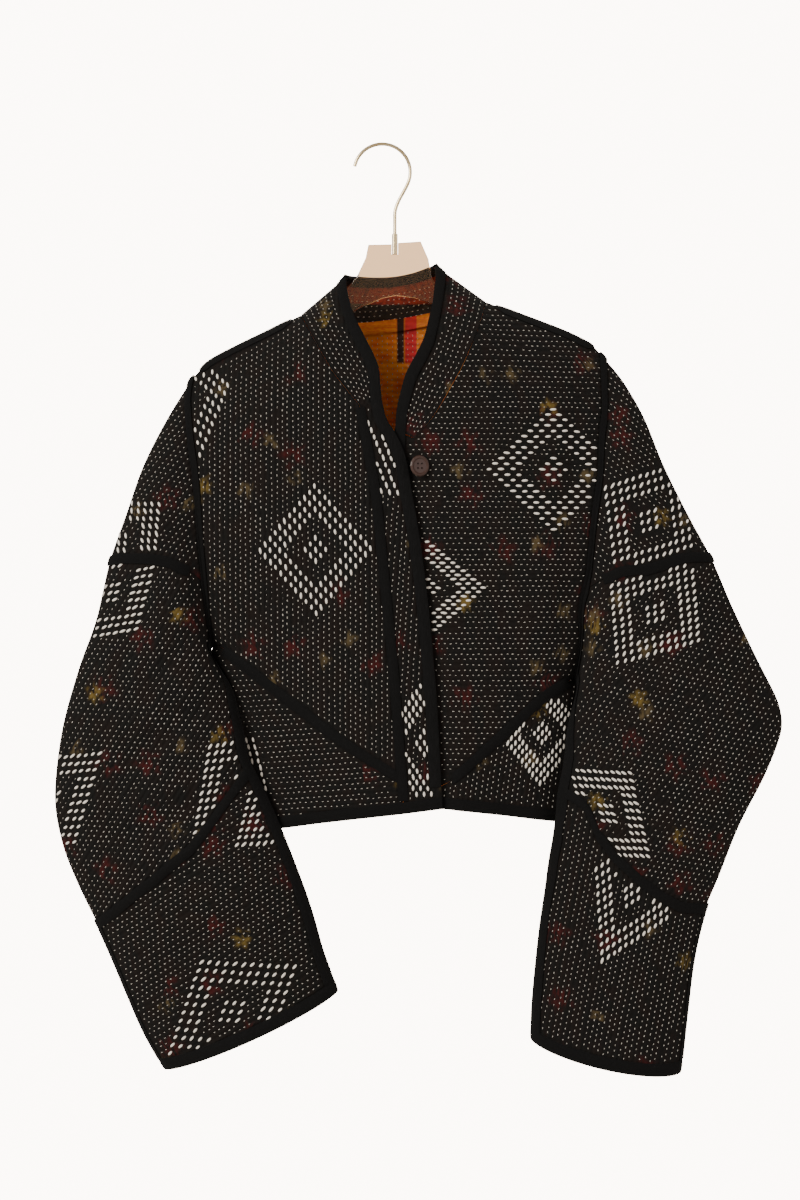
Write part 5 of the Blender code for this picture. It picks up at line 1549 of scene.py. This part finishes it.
def make_plate():
    data = bpy.data.curves.new("smoky_plate", "CURVE")
    data.dimensions = "2D"
    data.fill_mode = "BOTH"
    data.extrude = (PLATE_THICK / 2 - PLATE_BEVEL) * METRES
    data.bevel_depth = PLATE_BEVEL * METRES
    data.offset = -PLATE_BEVEL * METRES
    data.bevel_resolution = 2
    points = plate_outline()
    spline = data.splines.new("POLY")
    spline.points.add(len(points) - 1)
    for target, (x, z) in zip(spline.points, points):
        target.co = (x * METRES, z * METRES, 0, 1)
    spline.use_cyclic_u = True
    obj = add_object("smoky_plate", data, PLATE)
    obj.rotation_euler = (math.radians(90), 0, 0)
    hung(obj, "hanger_plate")


def finish_fittings():
    """Finishes the button and the ferrule, whose solids keep their shapes."""
    for node, finish in (("button", button_finish()), ("ferrule", BRASS)):
        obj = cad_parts[node]
        obj.data.materials.clear()
        obj.data.materials.append(finish)


def surfaces():
    """A search tree over every dressed piece, with the node and finish of each of its faces."""
    points, faces, owners = [], [], []
    for node, obj in pieces.items():
        if obj.type != "MESH":
            continue
        start = len(points)
        points += [vertex.co.copy() for vertex in obj.data.vertices]
        for face in obj.data.polygons:
            faces.append([start + i for i in face.vertices])
            owners.append((node, face.material_index))
    return BVHTree.FromPolygons(points, faces), owners


def touch(search, x, z, from_front):
    """What a ray through a point of the frame meets first."""
    tree, owners = search
    side = -1.0 if from_front else 1.0
    start, way = Vector((x * METRES, side, z * METRES)), Vector((0, -side, 0))
    place, normal, index, _ = tree.ray_cast(start, way)
    if place is None:
        return None, None, None
    normal = np.array(normal)
    if normal[1] * side < 0:
        normal = -normal
    return np.array(place) / METRES, normal, owners[index]


def frames_at(search, spots, wanted, from_front, long, generator):
    """The places where stitches lie on a surface: each a point and three directions."""
    rows = []
    for x, z, angle in spots:
        angle = math.radians(angle + generator.uniform(-7, 7))
        x, z = x + generator.uniform(-0.35, 0.35), z + generator.uniform(-0.35, 0.35)
        place, normal, owner = touch(search, x, z, from_front)
        if owner != wanted or abs(normal[1]) < 0.12:
            continue
        run = np.array([math.cos(angle), 0.0, math.sin(angle)])
        reach = run * (long / 2 + 0.4)
        ends = [(x + s * reach[0], z + s * reach[2]) for s in (-1, 1)]
        if any(touch(search, *end, from_front)[2] != wanted for end in ends):
            continue
        run = run - normal * (run @ normal)
        run /= np.linalg.norm(run)
        rows.append((place, run, np.cross(normal, run), normal))
    return rows


def pad_shape(long, wide, high):
    """A stitch shaped like a low roof: its corners and faces."""
    a, b, c = long / 2, wide / 2, long / 4
    points = [(-a, -b, -STITCH_SINK), (a, -b, -STITCH_SINK), (a, b, -STITCH_SINK), (-a, b, -STITCH_SINK)]
    points += [(-c, 0, high), (c, 0, high)]
    return np.array(points), [(0, 1, 5, 4), (1, 2, 5), (2, 3, 4, 5), (3, 0, 4), (3, 2, 1, 0)]


def dome_shape(long, wide, high):
    """A fat oval stitch: its corners and faces."""
    count = 8
    points = []
    for share, rise in ((1.0, -STITCH_SINK), (0.72, high * 0.72)):
        for i in range(count):
            angle = 2 * math.pi * i / count
            points.append((long / 2 * share * math.cos(angle), wide / 2 * share * math.sin(angle), rise))
    points.append((0, 0, high))
    faces = [(i, (i + 1) % count, count + (i + 1) % count, count + i) for i in range(count)]
    faces += [(count + i, count + (i + 1) % count, 2 * count) for i in range(count)]
    faces.append(tuple(range(count))[::-1])
    return np.array(points), faces


def sew(name, rows, shape, generator, finish):
    """Joins stitches of one shape into one piece."""
    if not rows:
        return None
    corners, faces = shape
    points, joined = [], []
    for place, run, across, normal in rows:
        size = generator.uniform(0.78, 1.12)
        joined += [tuple(len(points) * len(corners) + i for i in face) for face in faces]
        points.append(place + corners @ np.stack([run * size, across, normal]))
    data = mesh_from(name, np.concatenate(points), joined)
    data.polygons.foreach_set("use_smooth", [len(corners) > 6] * len(joined))
    obj = add_object(name, data, finish)
    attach(obj, "root")
    return obj


def sides_of(diamond):
    """A motif's centre and its two half sides, in millimetres."""
    x, y, *halves = diamond[:6]
    return np.array(frame_point(x, y)), np.array(halves).reshape(2, 2) * (FRAME_SCALE, -FRAME_SCALE)


def diamond_spots(diamond):
    """The big stitches of one motif: a ring three stitches wide and nine in its middle."""
    centre, halves = sides_of(diamond)
    places = np.arange(DIAMOND_STEPS + 1) - DIAMOND_STEPS / 2
    cells = [(i, j) for i in places for j in places if max(abs(i), abs(j)) > DIAMOND_STEPS / 2 - 2.5]
    cells += [(i, j) for i in (-1, 0, 1) for j in (-1, 0, 1)]
    return [(*(centre + np.array(cell) @ halves * 2 / DIAMOND_STEPS), diamond[6]) for cell in cells]


def in_diamond(spots, diamonds):
    """Which of the small stitches would lie among the big ones of a motif."""
    taken = np.zeros(len(spots), bool)
    step = 2 / DIAMOND_STEPS
    for diamond in diamonds:
        centre, halves = sides_of(diamond)
        far = np.abs((spots - centre) @ np.linalg.inv(halves)).max(axis=1)
        taken |= ((far > 1 - 2.55 * step) & (far < 1 + 0.55 * step)) | (far < 1.6 * step)
    return taken


def row_spots(panel, diamonds, generator):
    """Running stitches in rows over a panel, brick-like, apart from its diamonds."""
    angle = math.radians(ROWS[panel])
    run = np.array([math.cos(angle), math.sin(angle)])
    across = np.array([-math.sin(angle), math.cos(angle)])
    flat = panels[panel].reshape(-1, 3)[:, [0, 2]]
    low, high = (flat @ np.stack([run, across]).T).min(0), (flat @ np.stack([run, across]).T).max(0)
    spots = []
    for row in range(math.floor(low[1] / STITCH_ROW), math.ceil(high[1] / STITCH_ROW) + 1):
        drift = generator.uniform(-0.5, 0.5)
        for place in range(math.floor(low[0] / STITCH_PITCH), math.ceil(high[0] / STITCH_PITCH) + 1):
            along = (place + 0.5 * (row % 2)) * STITCH_PITCH
            spots.append(run * along + across * (row * STITCH_ROW + drift))
    spots = np.array(spots)
    kept = ~in_diamond(spots, diamonds) & (generator.random(len(spots)) > WORN_AWAY)
    return [(x, z, ROWS[panel]) for x, z in spots[kept]]


def make_stitches():
    search = surfaces()
    small = pad_shape(STITCH_LONG, STITCH_WIDE, STITCH_HIGH)
    big = dome_shape(BIG_LONG, BIG_WIDE, BIG_HIGH)
    generator = np.random.default_rng(SEED)
    for panel in ROWS:
        faces = [("", panel != "back" and not panel.endswith("_back"), 0)]
        if panel == "back":
            faces.append((" inside", True, 1))
        elif panel.endswith(("cap", "elbow")):
            faces.append((" back", False, 0))
        for label, from_front, finish in faces:
            wanted = (panel, finish)
            diamonds = [row for row in DIAMONDS if row[7] == panel + label]
            name = panel + label.replace(" ", "_")
            spots = row_spots(panel, diamonds, generator)
            rows = frames_at(search, spots, wanted, from_front, STITCH_LONG, generator)
            sew(f"{name}_running_stitches", rows, small, generator, THREAD)
            spots = [spot for diamond in diamonds for spot in diamond_spots(diamond)]
            rows = frames_at(search, spots, wanted, from_front, BIG_WIDE, generator)
            sew(f"{name}_diamond_stitches", rows, big, generator, BRIGHT_THREAD)
    make_collar_stitches(small, generator)


def make_collar_stitches(shape, generator):
    """Rows along the collar, on both its faces."""
    grid, normals = panels["collar"], panel_normals["collar"]
    columns = np.array(COLLAR_COLUMNS)
    width = np.linalg.norm(grid[:, -1] - grid[:, 0], axis=1).mean()
    rows = []
    for row, share in enumerate(np.arange(4.0, width - EDGE_WIDTH - 1.5, STITCH_ROW) / width):
        at = int(np.searchsorted(columns, share)) - 1
        t = (share - columns[at]) / (columns[at + 1] - columns[at])
        line = grid[:, at] * (1 - t) + grid[:, at + 1] * t
        out = normals[:, at] * (1 - t) + normals[:, at + 1] * t
        length = np.linalg.norm(np.diff(line, axis=0), axis=1).sum()
        places = (np.arange(1, int(length / STITCH_PITCH)) + 0.5 * (row % 2)) * STITCH_PITCH / length
        points = at_share(line, places)
        runs = at_share(line, places + 0.001) - points
        covered = shares_of(line)
        outs = np.column_stack([np.interp(places, covered, column) for column in out.T])
        for point, run, normal in zip(points, runs, outs):
            if generator.random() < WORN_AWAY:
                continue
            normal = normal / np.linalg.norm(normal)
            run = run - normal * (run @ normal)
            run /= np.linalg.norm(run)
            rows.append((point, run, np.cross(normal, run), normal))
            rows.append((point - normal * CLOTH, run, np.cross(-normal, run), -normal))
    sew("collar_running_stitches", rows, shape, generator, THREAD)


def make_neck_facing():
    """A rust strip that covers the collar's seam inside the back of the neck."""
    seams, _ = collar_rows()
    left, right = COLLAR_STEPS, 2 * COLLAR_STEPS
    line = seams[left : right + 1]
    inward = panel_normals["collar"][left : right + 1, 0] * -(CLOTH + FACING_GAP)
    line = line + inward
    line[0], line[-1] = line[0] * 0.6 + line[1] * 0.4, line[-1] * 0.6 + line[-2] * 0.4
    drops = np.array([[0, 0, 3.5], [0, -0.4, 0.0], [0, -0.6, -4.0], [0, -0.7, -8.0]])
    grid = line[:, None] + drops
    normals = grid_normals(grid, (10.0, 300.0, -190.0))
    sheet("neck_facing", grid + normals * FACING_THICK, grid, "facing")


def declare_cloth():
    """Gathers the bindings sewn on each panel, with the neck facing for the collar, and does nothing
    more with them. The area comes from the modelled shell itself, so a check that compares the two
    gives 1 / CUT_SHARE for any shape. Nothing here shows that the amount of cloth is right.
    """
    for node, flat in FLAT.items():
        bound = [pieces[name] for name in BOUND.get(node, [])]
        if node == "collar":
            bound.append(pieces["neck_facing"])


def make_stage():
    steps = 64
    points = [(0.0, 0.0, FLOOR)]
    for i in range(steps):
        angle = 2 * math.pi * i / steps
        points.append((FLOOR_REACH * math.cos(angle), FLOOR_REACH * math.sin(angle), FLOOR))
    faces = [(0, 1 + i, 1 + (i + 1) % steps) for i in range(steps)]
    data = mesh_from("studio_floor", points, faces)
    add_object("studio_floor", data, backdrop_finish())
    world = bpy.data.worlds.new("pale studio")
    bpy.context.scene.world = world
    world.use_nodes = True
    tree = Tree(world.node_tree)
    background = world.node_tree.nodes["Background"]
    background.inputs["Color"].default_value = WORLD_COLOUR
    rays = world.node_tree.nodes.new("ShaderNodeLightPath").outputs
    through = tree.math("MULTIPLY_ADD", rays["Is Transmission Ray"], THROUGH_STRENGTH, WORLD_STRENGTH)
    strength = tree.math("MULTIPLY_ADD", rays["Is Camera Ray"], WALL_STRENGTH, through)
    tree.feed(background.inputs["Strength"], strength)


def add_light(name, place, target, size, power, colour):
    data = bpy.data.lights.new(name, "AREA")
    data.shape = "DISK"
    data.size = size
    data.energy = power
    data.color = colour
    obj = bpy.data.objects.new(name, data)
    bpy.context.scene.collection.objects.link(obj)
    obj.location = place
    obj.rotation_euler = (Vector(target) - Vector(place)).to_track_quat("-Z", "Y").to_euler()


def make_camera():
    data = bpy.data.cameras.new("camera")
    data.sensor_width = SENSOR
    data.lens = SENSOR * -(CAMERA[1] - JACKET_PLANE) / (FRAME_HEIGHT * METRES)
    data.clip_end = 50
    obj = bpy.data.objects.new("camera", data)
    bpy.context.scene.collection.objects.link(obj)
    obj.location = CAMERA
    obj.rotation_euler = (math.radians(90), 0, 0)
    bpy.context.scene.camera = obj


make_body()
make_collar()
make_front_tapes()
make_hem_tapes()
make_shoulder_tapes()
make_sleeve("left", left_sleeve, LEFT_CROSS, LEFT_LOWER)
make_sleeve("right", right_sleeve, RIGHT_CROSS, RIGHT_LOWER)
make_plate()
make_hook()
finish_fittings()
make_neck_facing()
make_stitches()
declare_cloth()
make_stage()
add_light("window light", (-2.2, -2.4, 1.0), CENTRE, 2.0, 122.0, (1.0, 0.96, 0.9))
add_light("fill light", (2.6, -2.0, 0.2), CENTRE, 2.4, 24.0, (1.0, 0.93, 0.92))
make_camera()
